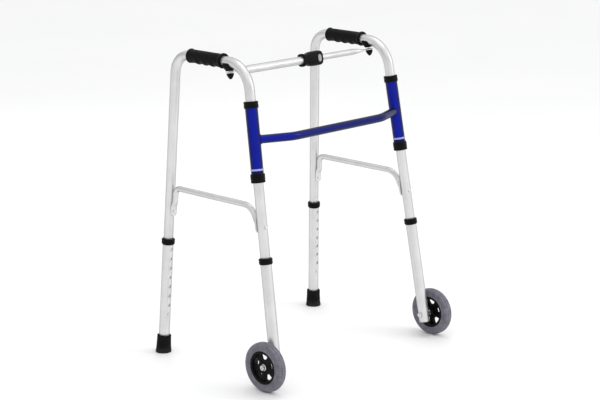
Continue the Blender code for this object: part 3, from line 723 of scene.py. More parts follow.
LOOKS = {
    "silver": anodised_aluminium(),
    "blue": blue_enamel("blue_enamel", 1.0),
    # painted shade: the blue enamel at 0.22 of its strength, for the sleeves' feet
    "painted_shade_blue": blue_enamel("navy_enamel", 0.22),
    # its pale colour is a painted highlight
    "ring": lavender_enamel(),
    "black": moulded_plastic("moulded_plastic", 0.0032, 0.42, 0.00005),
    "rim": moulded_plastic("rim_plastic", 0.0030, 0.38, 0.00003),
    "grip": grip_vinyl(),
    "rubber": ferrule_rubber(),
    "tyre": tyre_rubber(),
    "steel": plated_steel(),
    "brass": sintered_bronze(),
    "button": grey_button_plastic(),
}


def keep(piece, body, slot, *nodes):
    """Puts a finished piece under its body and hides the CAD nodes it stands for; slot is not used."""
    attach(piece, body)
    if nodes:
        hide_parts(*nodes)
    return piece


def turn_node(node, outline, place, look, body, steps=4, **options):
    """Turns the piece that stands for a CAD node, in the look of that name."""
    profile = rounded(outline, steps, closed=outline[0][0] > 0.0)
    keep(turned(f"fine_{node}", profile, place, LOOKS[look], **options), body, look, node)


def ring_outline(bore, low, high, outside, fillet):
    """A plain sleeve's outline with rounded edges."""
    return [(bore, low, fillet * 0.5), (outside, low, fillet), (outside, high, fillet),
            (bore, high, fillet * 0.5)]


# ---- front frame -----------------------------------------------------------------------------------
def front_sleeve(side):
    """Blue sleeve with a pale ring near its lower end, a painted highlight, and a darker foot below it,
    painted shade.
    """
    line = side.front
    place = line.frame(FORWARD)
    node = f"sleeve_{side.name}"
    low, high = line.reach(node)
    outside = line.girth(node)
    bore = TUBE_R + 0.0009
    ring_z = low + 0.0245
    ring_half = 0.0024
    groove = outside - 0.0008
    # the foot below the ring is coloured in painted shade
    halves = ((f"fine_{node}", "blue", 1.0, high, [node]),
              (f"sleeve_foot_{side.name}", "painted_shade_blue", -1.0, low, []))
    for name, look, way, end, nodes in halves:
        split = ring_z + way * HAIR
        shoulder = ring_z + way * (ring_half + HAIR)
        outline = [(bore, split), (groove, split), (groove, shoulder), (outside, shoulder, 0.0003),
                   (outside, end, EDGE), (bore, end)]
        keep(turned(name, rounded(outline), place, LOOKS[look]), "front_frame", "blue", *nodes)
    # the ring's pale colour is a painted highlight
    ring = ring_outline(groove + HAIR, ring_z - ring_half, ring_z + ring_half, outside + 0.0007, 0.0009)
    keep(turned(f"sleeve_ring_{side.name}", rounded(ring), place, LOOKS["ring"]), "front_frame", "blue")


def sleeve_cap(side, end, tip):
    """Black cap over an end of the sleeve, with a groove round it. tip is 1 for the top one."""
    node = f"sleeve_cap_{end}_{side.name}"
    line = side.front
    skirt, rim = line.ends(node, tip)
    seat = line.ends(f"sleeve_{side.name}", tip)[1] + tip * CLEAR
    over = line.girth(f"sleeve_{side.name}") + CLEAR
    inner = TUBE_R + CLEAR
    wide = line.girth(node)
    groove = wide - 0.0007
    outline = [(inner, rim, 0.0010), (wide - 0.0006, rim, 0.0014), (wide, rim - tip * 0.0050, 0.001),
               (groove, rim - tip * 0.0062, 0.0006), (groove, rim - tip * 0.0076, 0.0006),
               (wide, rim - tip * 0.0088, 0.001), (wide - 0.0003, skirt, 0.0010), (over, skirt, 0.0003),
               (over, seat), (inner, seat)]
    turn_node(node, outline, line.frame(FORWARD), "black", "front_frame")


def crossbar_path():
    """Centre line of the bowed crossbar between the sleeves' centre lines, and the bar's radius."""
    low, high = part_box("crossbar")
    z = (low.z + high.z) / 2.0
    radius = (high.z - low.z) / 2.0
    bow_y = low.y + radius
    bend_x, bend_r = 0.165, 0.090
    corners = [SIDE["right"].front.at_height(z), Vector((-bend_x, bow_y, z)), Vector((bend_x, bow_y, z)),
               SIDE["left"].front.at_height(z)]
    return filleted(corners, [bend_r, bend_r], 14), radius


def weld_bead(side, end, inward, bar_r):
    """A rippled bead around the joint of the crossbar and a sleeve."""
    axis = side.front.way
    sleeve_r = side.front.girth(f"sleeve_{side.name}")
    u = inward.cross(UP).normalized()
    v = inward.cross(u)
    count, ripples = 132, 33
    bead_r, ripple, lift = 0.0019, 0.00028, 0.0004
    flat_way = inward - axis * inward.dot(axis)
    ridge = []
    for k in range(count):
        angle = 2.0 * math.pi * k / count
        spoke = u * math.cos(angle) + v * math.sin(angle)
        start = spoke * bar_r
        flat_start = start - axis * start.dot(axis)
        a = flat_way.length_squared
        b = 2.0 * flat_start.dot(flat_way)
        c = flat_start.length_squared - sleeve_r ** 2
        reach = (-b + math.sqrt(b * b - 4.0 * a * c)) / (2.0 * a)
        ridge.append((end + start + inward * reach, spoke))
    rings = []
    for k, (point, spoke) in enumerate(ridge):
        tangent = (ridge[(k + 1) % count][0] - ridge[k - 1][0]).normalized()
        out = (spoke - tangent * spoke.dot(tangent)).normalized()
        size = bead_r + ripple * math.cos(2.0 * math.pi * ripples * k / count)
        rings.append(section(point + inward * lift, out, tangent.cross(out), size, size, segments=14))
    return loft(f"weld_{side.name}", rings, LOOKS["blue"], closed=True)


def crossbar():
    """Bowed bar, hollowed to the sleeves' shape at its ends, with a weld bead around each."""
    path, radius = crossbar_path()
    bar = tube("fine_crossbar", path, UP, radius, CROSSBAR_WALL, LOOKS["blue"])
    for name, end, inner in (("right", path[0], path[1]), ("left", path[-1], path[-2])):
        line = SIDE[name].front
        low, high = line.reach(f"sleeve_{name}")
        cope_r = line.girth(f"sleeve_{name}") + HAIR
        core = [(0.0, low), (cope_r, low), (cope_r, high), (0.0, high)]
        carve(bar, turned(f"cope_{name}", core, line.frame(FORWARD), LOOKS["blue"], segments=96))
        keep(weld_bead(SIDE[name], end, (inner - end).normalized(), radius), "front_frame", "blue")
    keep(bar, "front_frame", "blue", "crossbar")


# ---- side frames -----------------------------------------------------------------------------------
def side_tube(side):
    """One bent tube: rear leg, handle and front leg."""
    node = f"side_tube_{side.name}"
    made = tube(f"fine_{node}", side.tube_path(), side.normal, TUBE_R, TUBE_WALL, LOOKS["silver"])
    keep(made, f"side_frame_{side.name}", "silver", node)


def handgrip(side):
    """Moulded grip: a flange at each end, finger swells below and fine ribs across the palm."""
    node = f"handgrip_{side.name}"
    line = side.handle
    front, rear = line.reach(node)
    wide = line.girth(node)
    bore = TUBE_R + CLEAR
    crown = 0.0165
    flange, neck = 0.0070, 0.0030
    low, high = front + flange + neck, rear - flange - neck
    swells, swell_depth, valley = 4, 0.0026, 0.0003
    rib_pitch, rib_height = 0.0036, 0.00045
    steps = 150

    def shape(radius, height, angle):
        """Angle 0 is up. Fingers lie on the underside and ribs on the upper side."""
        if radius < bore + 0.0010 or not low < height < high:
            return radius
        part = (height - low) / (high - low)
        ends = smooth_step(part / 0.08) * smooth_step((1.0 - part) / 0.08)
        below = smooth_step((-math.cos(angle) - 0.05) / 0.7)
        above = smooth_step((math.cos(angle) - 0.25) / 0.35)
        finger = 0.5 - 0.5 * math.cos(2.0 * math.pi * swells * part)
        rib = max(0.0, math.sin(2.0 * math.pi * (height - low) / rib_pitch)) ** 0.7
        fingers = below * (swell_depth * (1.0 - finger) - valley)
        return radius + ends * (fingers + above * rib_height * rib)

    start = rounded([(bore, front, 0.0006), (wide - 0.0006, front, 0.0016), (wide, front + 0.0038, 0.0012),
                     (wide - 0.0012, front + flange, 0.0016), (crown, low, 0.0020)], closed=False)
    finish = rounded([(crown, high, 0.0020), (wide - 0.0016, rear - flange, 0.0020),
                      (wide - 0.0006, rear - 0.0030, 0.0022), (bore + 0.0022, rear, 0.0016),
                      (bore, rear, 0.0003)], closed=False)
    middle = [(crown, z) for z in spread(low, high, steps)[1:-1]]
    made = turned(f"fine_{node}", start + middle + finish, line.frame(UP), LOOKS["grip"], segments=72,
                  shape=shape)
    keep(made, f"side_frame_{side.name}", "grip", node)


def beside(line, z, offset, way):
    """A point at a height, off a leg's centre line towards the front (way 1) or the rear (way -1)."""
    return line.at_height(z) + FORWARD * (offset * way)


def brace_end(line, rivet_z, root_z, way):
    """Sections from the rounded tip of a flattened end up to where the brace is round again."""
    flat_offset = TUBE_R + CLEAR + BRACE_FLAT
    half, below, above = 0.0098, 0.0145, 0.0100
    sections = []
    for angle in (12, 28, 45, 62, 78, 90):
        z = rivet_z - below + half * (1.0 - math.cos(math.radians(angle)))
        width = half * math.sin(math.radians(angle))
        sections.append((beside(line, z, flat_offset, way), BRACE_FLAT, width, 3.0))
    sections.append((beside(line, rivet_z + above, flat_offset, way), BRACE_FLAT, half, 3.6))
    growth = BRACE_R - BRACE_FLAT
    for t in spread(0.12, 1.0, 9):
        s = smooth_step(t)
        z = rivet_z + above + (root_z - rivet_z - above) * t
        sections.append((beside(line, z, flat_offset + growth * s, way), BRACE_FLAT + growth * s,
                         half + (BRACE_R - half) * s, 3.6 - 1.6 * s))
    return sections


def side_brace(side):
    """Round brace whose flattened ends lie on the legs, each under a rivet."""
    node = f"side_brace_{side.name}"
    run_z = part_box(node)[1].z - BRACE_R
    offset = TUBE_R + CLEAR + BRACE_R
    rivet_rear = centre(f"brace_rivet_rear_{side.name}").z
    rivet_front = centre(f"brace_rivet_front_{side.name}").z
    root_rear, root_front = rivet_rear + 0.030, rivet_front + 0.034
    corners = [beside(side.rear, root_rear, offset, 1.0), beside(side.rear, run_z, offset, 1.0),
               beside(side.front, run_z, offset, -1.0), beside(side.front, root_front, offset, -1.0)]
    bend = filleted(corners, [0.018, 0.045], 14)

    stations = brace_end(side.rear, rivet_rear, root_rear, 1.0)
    stations += [(point, BRACE_R, BRACE_R, 2.0) for point in bend[1:-1]]
    stations += brace_end(side.front, rivet_front, root_front, -1.0)[::-1]
    frames = path_frames([station[0] for station in stations], side.normal)
    rings = [section(point, across, side.normal, *sizes, segments=40)
             for (point, across), (_, *sizes) in zip(frames, stations)]
    keep(loft(f"fine_{node}", rings, LOOKS["silver"]), f"side_frame_{side.name}", "silver", node)


def brace_rivet(side, end, line, towards):
    """Domed head on the brace and a flatter one on the far side of the leg, joined by the shank."""
    node = f"brace_rivet_{end}_{side.name}"
    spot = Line(line.at_height(centre(node).z), line.across(FORWARD) * towards)
    low, high = spot.reach(node)
    head, shank = 0.0052, 0.0022
    seat = TUBE_R + 2.0 * CLEAR + 2.0 * BRACE_FLAT + HAIR
    back = -TUBE_R - HAIR
    outline = [(0.0, low), (0.0018, low, 0.0008), (head * 0.9, back - 0.0006, 0.0008),
               (head * 0.9, back), (shank, back), (shank, seat), (head, seat),
               (head, seat + 0.0005, 0.0004), (head * 0.62, high - 0.0001, 0.0016), (0.0, high)]
    turn_node(node, outline, spot.frame(UP), "steel", f"side_frame_{side.name}", segments=32)


def stay_bracket(side):
    """Black saddle under the handle, with the boss that the stay's pin goes up into."""
    node = f"stay_bracket_{side.name}"
    pin = side.pin
    low, high = pin.reach(node)
    place = pin.frame(FORWARD)
    ahead, across = place.to_3x3().col[0], place.to_3x3().col[1]
    levels = [(low, 0.0088, 0.0088, 2.2), (low + 0.0008, 0.0100, 0.0100, 2.2),
              (low + 0.0035, 0.0104, 0.0106, 2.4), (low + 0.0065, 0.0114, 0.0128, 2.8),
              (low + 0.0095, 0.0122, 0.0148, 3.4), (low + 0.0130, 0.0124, 0.0153, 4.0),
              (high + 0.0060, 0.0122, 0.0153, 4.0)]
    rings = [section(pin.at(level) - ahead * 0.001, ahead, across, *sizes, segments=64)
             for level, *sizes in levels]
    made = loft(f"fine_{node}", rings, LOOKS["black"])
    seat_r = TUBE_R + 0.0002
    seat = [section(point, out, side.normal, seat_r, seat_r)
            for point, out in path_frames(side.tube_path(), side.normal)]
    carve(made, loft("seat", seat, LOOKS["black"]))
    top = side.handle_z - 0.0030
    cutter = [section(Vector((side.pivot.x, side.pivot.y, z)), ALONG_X, FORWARD, 0.05, 0.05, 8.0)
              for z in (top, top + 0.05)]
    carve(made, loft("top_cut", cutter, LOOKS["black"]))
    bore = 0.0050 if side.name == "left" else PIN_R + CLEAR     # wider where the linkage is opened
    bore_top = low + 0.0092
    hole = [(0.0, low - 0.002), (bore, low - 0.002), (bore, bore_top), (0.0, bore_top)]
    carve(made, turned("bore", hole, place, LOOKS["black"], segments=32))
    soften(made, 0.0006)
    keep(made, f"side_frame_{side.name}", "black", node)


# ---- telescopic leg ends ---------------------------------------------------------------------------
def leg_tube(side, end, line, towards):
    """Lower leg tube with its row of height holes, the lowest one at the snap button."""
    node = f"{end}_leg_{side.name}"
    facing = line.across(FORWARD) * towards
    legs = Drill(line, facing, line.reach(node), line.girth(node), LEG_WALL)
    travel = JOINTS[f"{end}_leg_slide_{side.name}"]["range_m"][1]
    lowest = (centre(f"snap_button_{end}_{side.name}") - line.point).dot(line.way)
    legs.holes = [(0, lowest + k * HOLE_PITCH, HOLE_R) for k in range(round(travel / HOLE_PITCH) + 1)]
    if end == "front":
        axle = (side.axle.point - line.point).dot(line.way)
        legs.holes += [(column, axle, BOLT_R + CLEAR) for column in (ROUND // 4, 3 * ROUND // 4)]
    keep(legs.build(f"fine_{node}", LOOKS["silver"]), node, "silver", node)


def leg_collar(side, end, line):
    """Clamp ring on top of a lower leg tube, with a lip, a groove round it and a skirt below."""
    node = f"{end}_collar_{side.name}"
    leg = f"{end}_leg_{side.name}"
    low, high = line.reach(node)
    seat = line.reach(leg)[1] + CLEAR
    over = line.girth(leg) + CLEAR
    inner = TUBE_R + 0.0004
    wide = line.girth(node)
    waist = wide - 0.0009
    outline = [(inner, high, 0.0008), (wide - 0.0012, high, 0.0012), (wide, high - 0.0024, 0.0010),
               (wide, high - 0.0050, 0.0006), (waist, high - 0.0058, 0.0005),
               (waist, high - 0.0070, 0.0005), (wide - 0.0001, high - 0.0078, 0.0006),
               (wide - 0.0005, low + 0.0024, 0.0010), (over + 0.0009, low, 0.0006), (over, low, 0.0003),
               (over, seat), (inner, seat)]
    turn_node(node, outline, line.frame(FORWARD), "black", leg)


def rubber_tip(side):
    """Ribbed rubber ferrule whose open rim stands clear of the tube, on a sole cut flat at the floor."""
    node = f"rubber_tip_{side.name}"
    leg = f"rear_leg_{side.name}"
    line = side.rear
    low, high = line.reach(node)
    seat = line.reach(leg)[0] - CLEAR
    over = line.girth(leg) + CLEAR
    wide = line.girth(node)
    sole = wide - 0.0003
    outline = [(0.0, low - 0.004), (wide - 0.0012, low - 0.004), (sole, low + 0.0022, 0.0010),
               (sole, low + 0.0060, 0.0012), (wide - 0.0012, low + 0.0105, 0.0030)]
    ribs, rib_pitch, taper = 4, 0.0052, 0.00025
    for rib in range(ribs):
        z = low + 0.0150 + rib * rib_pitch
        r = wide - 0.0014 - rib * taper
        groove = r - 0.0009
        outline += [(r, z, 0.0008), (groove, z + 0.0010, 0.0006), (groove, z + 0.0020, 0.0006),
                    (r - 0.0002, z + 0.0030, 0.0008)]
    outline += [(wide - 0.0027, high - 0.0035, 0.0010), (wide - 0.0025, high, 0.0010),
                (over + 0.0014, high, 0.0010), (over, high - 0.0040, 0.0010), (over, seat), (0.0, seat)]
    made = turned(f"fine_{node}", rounded(outline, closed=False), line.frame(FORWARD), LOOKS["rubber"])
    for vertex in made.data.vertices:
        vertex.co.z = max(vertex.co.z, 0.0)
    keep(made, leg, "rubber", node)


def snap_button(side, end, line, towards):
    """Domed button that stands a little out of the leg's hole, on its wide foot inside the tube."""
    node = f"snap_button_{end}_{side.name}"
    spot = Line(line.at((centre(node) - line.point).dot(line.way)), line.across(FORWARD) * towards)
    low, high = spot.reach(node)
    foot, shank = 0.0052, 0.0037
    foot_top = low + 0.0014
    out = high + 0.0032
    outline = [(0.0, low), (foot, low, 0.0003), (foot, foot_top, 0.0003), (shank, foot_top),
               (shank, out - 0.0012, 0.0012), (shank * 0.55, out - 0.0002, 0.0012), (0.0, out)]
    turn_node(node, outline, spot.frame(UP), "steel", node, segments=32)


# ---- wheels ----------------------------------------------------------------------------------------
def tyre(side):
    """Solid tyre with two grooves round its tread and notched shoulders."""
    node = f"tyre_{side.name}"
    line = side.axle
    low, high = line.reach(node)
    outside = line.girth(node) - FLOAT_SLACK
    half = (high - low) / 2.0
    middle = (high + low) / 2.0
    bead = line.girth(f"wheel_rim_{side.name}") + CLEAR
    tread = outside - 0.0013
    notches, notch_depth = 60, 0.00075

    def notched(radius, height, angle):
        shoulder = smooth_step((abs(height - middle) - 0.45 * half) / (0.2 * half))
        outer = smooth_step((radius - outside + 0.0060) / 0.0030)
        tooth = math.cos(notches * angle + (0.9 if height > middle else 0.0))
        return radius - notch_depth * shoulder * outer * smooth_step((tooth - 0.35) / 0.3)

    def half_outline(sign):
        """From the bead to the middle of the tread, by radius, share of the half width and fillet."""
        rows = [(bead, 0.92, 0.0004), (bead + 0.0016, 1.0, 0.0008), (bead + 0.0045, 0.94, 0.0015),
                (bead + 0.0060, 0.94, 0.0010), (bead + 0.0072, 1.0, 0.0012),
                (outside - 0.0062, 1.0, 0.0030), (outside - 0.0022, 0.84, 0.0030),
                (outside - 0.0003, 0.46, 0.0012), (tread, 0.42, 0.0003), (tread, 0.34, 0.0003),
                (outside, 0.30, 0.0003)]
        return [(r, middle + sign * half * z, fillet) for r, z, fillet in rows]

    turn_node(node, half_outline(-1.0) + half_outline(1.0)[::-1], line.frame(UP), "tyre",
              f"wheel_{side.name}", steps=3, segments=300, shape=notched)


def rim_window(turn, inner_r, outer_r, levels, spokes, spoke_half):
    """A tool for one window between two spokes: levels hold a height and how far it is widened there."""
    rings = []
    for z, wider in levels:
        inner, outer, half_gap = inner_r - wider, outer_r + wider, spoke_half - wider
        inner_turn = math.pi / spokes - math.asin(half_gap / inner)
        outer_turn = math.pi / spokes - math.asin(half_gap / outer)
        x, y = inner * math.cos(inner_turn), inner * math.sin(inner_turn)
        corners = [(x, -y, 0.0022)]
        for angle in spread(-outer_turn, outer_turn, 7):
            fillet = 0.0016 if abs(angle) > 0.99 * outer_turn else 0.0
            corners.append((outer * math.cos(angle), outer * math.sin(angle), fillet))
        corners.append((x, y, 0.0022))
        rings.append([turn @ Vector((*point, z)) for point in rounded(corners, steps=5)])
    return loft("window", rings, LOOKS["rim"])


def rim_rib(turn, stations, z):
    """A tool for the rib along one spoke: stations hold a radius, a half width and a half height."""
    _, across, out = (turn.to_3x3().col[i] for i in range(3))
    rings = [section(turn @ Vector((r, 0.0, z)), across, out, half_width, half_height, 5.0, segments=16)
             for r, half_width, half_height in stations]
    return loft("rib", rings, LOOKS["rim"])


def wheel_rim(side):
    """One moulding: barrel with lips, hub, and a web with five windows and a rib along each spoke."""
    node = f"wheel_rim_{side.name}"
    line = side.axle
    place = line.frame(UP)
    low, high = line.reach(node)
    outside = line.girth(node)
    barrel_in = outside - 0.0062
    wall = barrel_in - 0.0012
    web_low, web_high = 0.0, 0.0052
    hub_r, hub_bore, hub_top = 0.0125, 0.0066, 0.0060
    outline = [(hub_bore, low), (hub_r - 0.0012, low, 0.0008), (hub_r - 0.0004, low + 0.0020, 0.001),
               (hub_r, web_low, 0.0015), (wall, web_low, 0.0015), (barrel_in - 0.0004, low, 0.0008),
               (outside - 0.0006, low, 0.0010), (outside, low + 0.0012, 0.0008),
               (outside, high - 0.0012, 0.0008), (outside - 0.0006, high, 0.0010),
               (barrel_in - 0.0004, high, 0.0008), (wall, web_high, 0.0012),
               (hub_r + 0.0004, web_high, 0.0004), (hub_r - 0.0008, hub_top, 0.0006),
               (hub_bore, hub_top, 0.0003)]
    made = turned(f"fine_{node}", rounded(outline), place, LOOKS["rim"], segments=96, sharp=35.0)

    spokes, spoke_half = 5, 0.0080
    chamfer, beyond = 0.0006, 0.0040
    levels = ((web_low - beyond, chamfer), (web_low, chamfer), (web_low + chamfer, 0.0),
              (web_high - chamfer, 0.0), (web_high, chamfer), (web_high + beyond, chamfer))
    ribs = ((hub_r - 0.003, 0.0016, 0.0052), (hub_r + 0.004, 0.0016, 0.0050), (0.026, 0.0014, 0.0042),
            (barrel_in - 0.003, 0.0016, 0.0054), (barrel_in + 0.001, 0.0016, 0.0058))
    turns = [place @ Matrix.Rotation(math.pi * k / spokes, 4, "Z") for k in range(2 * spokes)]
    for turn in turns[::2]:
        carve(made, rim_window(turn, 0.0205, wall - 0.0014, levels, spokes, spoke_half), sharp=35.0)
    for turn in turns[1::2]:
        carve(made, rim_rib(turn, ribs, web_low + 0.0013), "UNION", 35.0)
    keep(made, f"wheel_{side.name}", "black", node)


def axle_bolt(side):
    """Bolt with a low domed head, and a dimple in the end of its shank."""
    node = f"axle_bolt_{side.name}"
    line = side.axle
    low, high = line.reach(node)
    seat = low + 0.0050
    head = line.girth(node)
    outline = [(0.0, low), (head * 0.55, low + 0.0003, 0.002), (head, low + 0.0026, 0.0010),
               (head, seat, 0.0002), (BOLT_R, seat), (BOLT_R, high - 0.0006, 0.0004),
               (BOLT_R - 0.0006, high, 0.0002), (0.0022, high), (0.0020, high - 0.0022),
               (0.0, high - 0.0026)]
    turn_node(node, outline, line.frame(UP), "steel", f"front_leg_{side.name}", segments=40)


def axle_sleeve(side, part, outside, fillet, look, body):
    """The spacer between wheel and leg, or the bush in the hub."""
    node = f"{part}_{side.name}"
    low, high = side.axle.reach(node)
    outline = ring_outline(BOLT_R + CLEAR, low, high, outside, fillet)
    turn_node(node, outline, side.axle.frame(UP), look, f"{body}_{side.name}")


def axle_nut(side):
    """Hexagon nut with a round flange, at the hub's face."""
    node = f"axle_nut_{side.name}"
    low, high = side.axle.reach(node)
    bore = BOLT_R + 0.0002
    corner_r, flange = 0.0075, 0.0086

    def hexagon(radius, height, angle):
        if height < low + 0.0016 or radius < bore + 0.0005 or radius > corner_r + 0.0002:
            return radius
        half_side = math.pi / 6.0
        wrapped = (angle + half_side) % (2.0 * half_side) - half_side
        return min(radius, corner_r * math.cos(half_side) / math.cos(wrapped))

    outline = [(bore, low), (flange, low, 0.0003), (flange, low + 0.0008, 0.0004),
               (corner_r, low + 0.0015), (corner_r, low + 0.0018), (corner_r, high - 0.0012),
               (corner_r - 0.0012, high, 0.0004), (bore + 0.0006, high, 0.0004), (bore, high - 0.0008)]
    turn_node(node, outline, side.axle.frame(UP), "steel", f"front_leg_{side.name}", segments=72,
              shape=hexagon, sharp=30.0)


# ---- telescopic stay -------------------------------------------------------------------------------
def stay_up():
    """Upward direction across the stay, in line with the lean of the fold axes."""
    way = SIDE["left"].front.way
    return Vector((0.0, way.y, way.z)).normalized()


def stay_tube(node, side, end_x, radius, bore, body):
    """Tube with one end pressed flat into an eye for the pivot pin, and a blind bore in the other."""
    inward = -ALONG_X * side.sign
    up = stay_up()
    across = inward.cross(up)
    total = abs(side.pivot.x - end_x)
    flat_end, taper, round_start, bore_end = 0.014, 0.056, 0.080, 0.085
    distances = [-EYE_R * math.cos(math.radians(angle)) for angle in (6, 14, 25, 38, 52, 70, 90)]
    distances += spread(0.004, round_start, 24) + [total - EDGE, total]
    rings = []
    for distance in distances:
        swell = smooth_step((distance - flat_end) / taper)
        half_width = EYE_R + (radius - EYE_R) * swell
        if distance < 0.0:
            half_width = math.sqrt(EYE_R ** 2 - distance ** 2)
        half_height = EYE_HALF_T + (radius - EYE_HALF_T) * swell
        if distance == total:
            half_width, half_height = radius - EDGE, radius - EDGE
        rings.append(section(side.pivot + inward * distance, across, up, half_width, half_height,
                             4.0 - 2.0 * swell))
    for distance in (total, bore_end):
        rings.append(section(side.pivot + inward * distance, across, up, bore, bore))
    made = loft(f"fine_{node}", rings, LOOKS["silver"])
    eye_r, reach = PIN_R + 0.0004, 0.006
    eye = [(0.0, -reach), (eye_r, -reach), (eye_r, reach), (0.0, reach)]
    carve(made, turned("eye", eye, side.pin.frame(FORWARD), LOOKS["silver"], segments=32))
    keep(made, body, "silver", node)


def stay_pin(side, body):
    """Pin through the stay's eye. The left one also crosses the clearance up to its bracket."""
    node = f"stay_pin_{side.name}"
    place = side.pin.frame(FORWARD)
    low, high = side.pin.reach(node)
    if side.name == "left":
        high += 0.0060
    outline = [(0.0, low), (PIN_R, low, 0.0003), (PIN_R, high, 0.0006), (0.0, high)]
    turn_node(node, outline, place, "steel", body, segments=32)

    if side.name == "left":
        top = EYE_HALF_T + HAIR
        washer = rounded(ring_outline(PIN_R + CLEAR, top, top + 0.0012, 0.0078, 0.0003))
        keep(turned("pivot_washer_left", washer, place, LOOKS["steel"], segments=40), body, "steel")


def stay_knob(side, body):
    """Fluted knob below the pin, running down to a point."""
    node = f"stay_knob_{side.name}"
    low, high = side.pin.reach(node)
    wide = side.pin.girth(node)
    bore = PIN_R + CLEAR
    bore_low = side.pin.reach(f"stay_pin_{side.name}")[0] - CLEAR
    flutes, flute_depth = 8, 0.0008

    def fluted(radius, height, angle):
        outer = smooth_step((radius - 0.0045) / 0.003)
        dip = smooth_step((math.cos(flutes * angle) + 0.1) / 0.8)
        inside = smooth_step((high - 0.0022 - height) / 0.002)
        return radius - flute_depth * outer * inside * dip

    outline = [(0.0, bore_low), (bore, bore_low), (bore, high, 0.0002), (wide - 0.0010, high, 0.0005),
               (wide, high - 0.0014, 0.0008), (wide - 0.0008, high - 0.0050, 0.002),
               (wide - 0.0034, high - 0.0100, 0.004), (0.0026, low + 0.0006, 0.0016), (0.0, low)]
    turn_node(node, outline, side.pin.frame(FORWARD), "black", body, steps=6, segments=96, shape=fluted)


def lock_housing():
    """Moulding with a flanged mouth, growing taller towards its button."""
    node = "lock_housing"
    low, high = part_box(node)
    pivot = SIDE["right"].pivot
    up = stay_up()
    front = ALONG_X.cross(up)
    length = high.x - low.x
    stations = [(0.0, 0.0140, 0.0160), (0.0006, 0.0147, 0.0167), (0.0022, 0.0149, 0.0170),
                (0.0038, 0.0147, 0.0167), (0.0046, 0.0138, 0.0156), (0.0056, 0.0128, 0.0142),
                (0.0090, 0.0124, 0.0138), (0.0150, 0.0130, 0.0146), (0.0210, 0.0140, 0.0162),
                (0.0270, 0.0148, 0.0180), (0.0330, 0.0151, 0.0189), (0.0420, 0.0153, 0.0193),
                (0.0560, 0.0153, 0.0194), (length - 0.0070, 0.0151, 0.0191),
                (length - 0.0035, 0.0146, 0.0184), (length - 0.0012, 0.0136, 0.0172),
                (length, 0.0124, 0.0158)]
    mouth, throat = STAY_OUTER_R + 0.0002, STAY_INNER_R + 0.0003
    step_x = STAY_OUTER_END_X + 0.0006
    bores = [(high.x, throat + 0.0008), (high.x - 0.0012, throat), (step_x, throat), (step_x, mouth),
             (low.x + 0.0012, mouth), (low.x, mouth + 0.0008)]
    outer = [section(Vector((low.x + along, pivot.y, pivot.z)), front, up, depth, height, 3.0, segments=80)
             for along, depth, height in stations]
    inner = [section(Vector((x, pivot.y, pivot.z)), front, up, r, r, segments=80) for x, r in bores]
    made = loft(f"fine_{node}", outer + inner, LOOKS["black"], closed=True, sharp=40.0)
    recess = oval_rings(button_place(), [(0.0128, 0.0), (0.0200, 0.0)], 0.0004)
    carve(made, loft("recess", recess, LOOKS["black"]))
    keep(made, "stay_outer", "black", node)


def button_place():
    """A frame at the lock button: local Z outwards through it, local Y up."""
    pivot = SIDE["right"].pivot
    up = stay_up()
    front = ALONG_X.cross(up)
    turn = Matrix((up.cross(front), up, front)).transposed().to_4x4()
    return Matrix.Translation(Vector((centre("lock_button").x, pivot.y, pivot.z))) @ turn


def oval_rings(place, levels, wider=0.0):
    """Upright oval sections about a place: each level is its height and how far it is drawn in."""
    ahead, up = place.to_3x3().col[0], place.to_3x3().col[1]
    half_width, half_height = 0.0056 + wider, 0.0094 + wider
    return [section(place @ Vector((0.0, 0.0, height)), ahead, up, half_width - inset,
                    half_height - inset, 2.6, segments=64) for height, inset in levels]


def lock_button():
    """Oval button with a domed, slightly dished face."""
    levels = [(0.0120, 0.0), (0.0158, 0.0), (0.0168, 0.0004), (0.0174, 0.0012), (0.0176, 0.0024),
              (0.0173, 0.0036)]
    made = loft("fine_lock_button", oval_rings(button_place(), levels), LOOKS["button"])
    keep(made, "lock_button", "steel", "lock_button")


def stay_bush():
    """Guide bush on the inner tube's end, inside the outer one."""
    line = Line(SIDE["right"].pivot, ALONG_X)
    low, high = line.reach("stay_bush")
    outline = ring_outline(STAY_INNER_R + CLEAR, low, high, STAY_BORE_R - CLEAR, 0.0003)
    turn_node("stay_bush", outline, line.frame(UP), "black", "stay_bush")


# ---- studio ----------------------------------------------------------------------------------------
def area_light(name, spot, aim, size, power):
    data = bpy.data.lights.new(name, "AREA")
    data.shape = "RECTANGLE"
    data.size, data.size_y = size
    data.energy = power
    light = bpy.data.objects.new(name, data)
    light.location = spot
    light.rotation_mode = "QUATERNION"
    light.rotation_quaternion = (Vector(aim) - Vector(spot)).to_track_quat("-Z", "Y")
    bpy.context.scene.collection.objects.link(light)


def studio_ground():
    half = 30.0
    corners = [(-half, -half, 0.0), (half, -half, 0.0), (half, half, 0.0), (-half, half, 0.0)]
    mesh = bpy.data.meshes.new("floor")
    mesh.from_pydata(corners, [], [(0, 1, 2, 3)])
    mesh.materials.append(studio_floor())
    floor = bpy.data.objects.new("floor", mesh)
    bpy.context.scene.collection.objects.link(floor)


